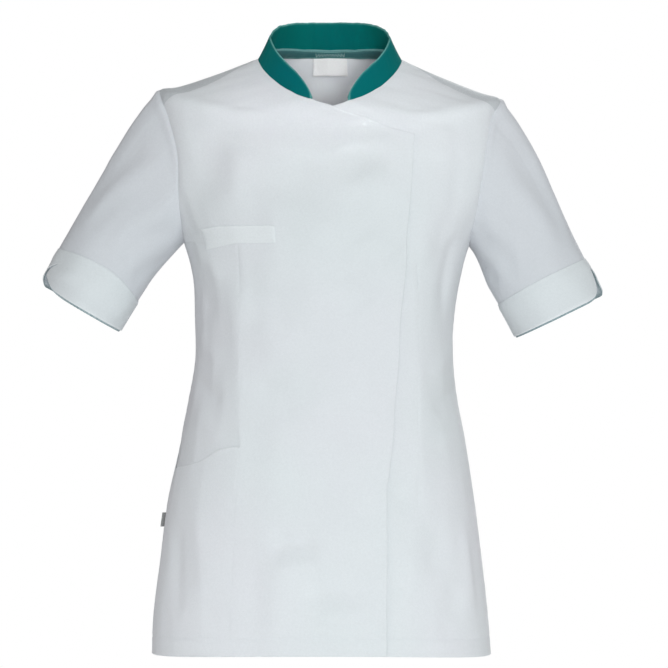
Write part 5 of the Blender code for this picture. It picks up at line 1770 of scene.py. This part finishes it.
# %% Say what each piece is
Sewn = namedtuple("Sewn", "piece node slot width length area hangs_from")
PIECES = (
    Sewn(over_front, "front_right", "cloth_white", 300, 735, 0.139, ["shoulder_yoke"]),
    Sewn(side_front, "front_right_side", "cloth_white", 152, 480, 0.064, ["over_front", "back_panel"]),
    Sewn(under_front, "front_left", "cloth_white", 292, 735, 0.168, ["shoulder_yoke"]),
    Sewn(back_panel, "back", "cloth_white", 528, 612, 0.264, ["shoulder_yoke"]),
    Sewn(shoulder_yoke, "back_yoke", "yoke_cloth", 420, 250, 0.063, ["collar_cloth_outer"]),
    Sewn(hip_pocket, "hip_pocket", "cloth_white", 152, 245, 0.034, ["side_front"]),
    Sewn(chest_welt, "chest_welt", "cloth_white", 88, 27, 0.0020, ["over_front"]),
    Sewn(sleeves[0], "sleeve_right", "cloth_white", 400, 225, 0.062, ["shoulder_yoke", "back_panel"]),
    Sewn(sleeves[1], "sleeve_left", "cloth_white", 400, 215, 0.0575, ["shoulder_yoke", "back_panel"]),
    Sewn(cuffs[0], "cuff_right", "cloth_white", 350, 57, 0.0165, ["sleeve_cloth_right"]),
    Sewn(cuffs[1], "cuff_left", "cloth_white", 360, 47, 0.0158, ["sleeve_cloth_left"]),
    Sewn(facings[0], "cuff_facing_right", "teal_cloth", 336, 40, 0.0122, ["cuff_band_right"]),
    Sewn(facings[1], "cuff_facing_left", "teal_cloth", 346, 39, 0.0132, ["cuff_band_left"]),
    Sewn(collar_outer, "collar_outer", "teal_cloth", 460, 42, 0.0135, ["shoulder_yoke"]),
    Sewn(collar_inner, "collar_inner", "teal_cloth", 455, 42, 0.0133, ["collar_cloth_outer"]),
    Sewn(neck_tape, "neck_tape", "tape_teal", 262, 13.5, 0.0034, ["shoulder_yoke"]),
    Sewn(neck_label, "neck_label", "label_white", 39, 22, 0.00085, ["neck_tape_strip"]),
    Sewn(side_tab, "side_tab", "tab_grey", 10.5, 16, 0.00016, ["side_front"]),
)


def one_side_area(piece):
    return sum(face.area for face in piece.data.polygons) / 2


for part in PIECES:
    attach(part.piece, "root")
    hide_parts(part.node)
    print(part.piece.name, "area", round(one_side_area(part.piece), 5), "box",
          [round(size * 1000, 1) for size in part.piece.dimensions])
for stitches, slot in ((hem_stitches, "cloth_white"), (welt_stitches, "cloth_white"),
                       (tape_stitches, "teal_cloth"), (label_stitches, "teal_cloth")):
    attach(stitches, "root")
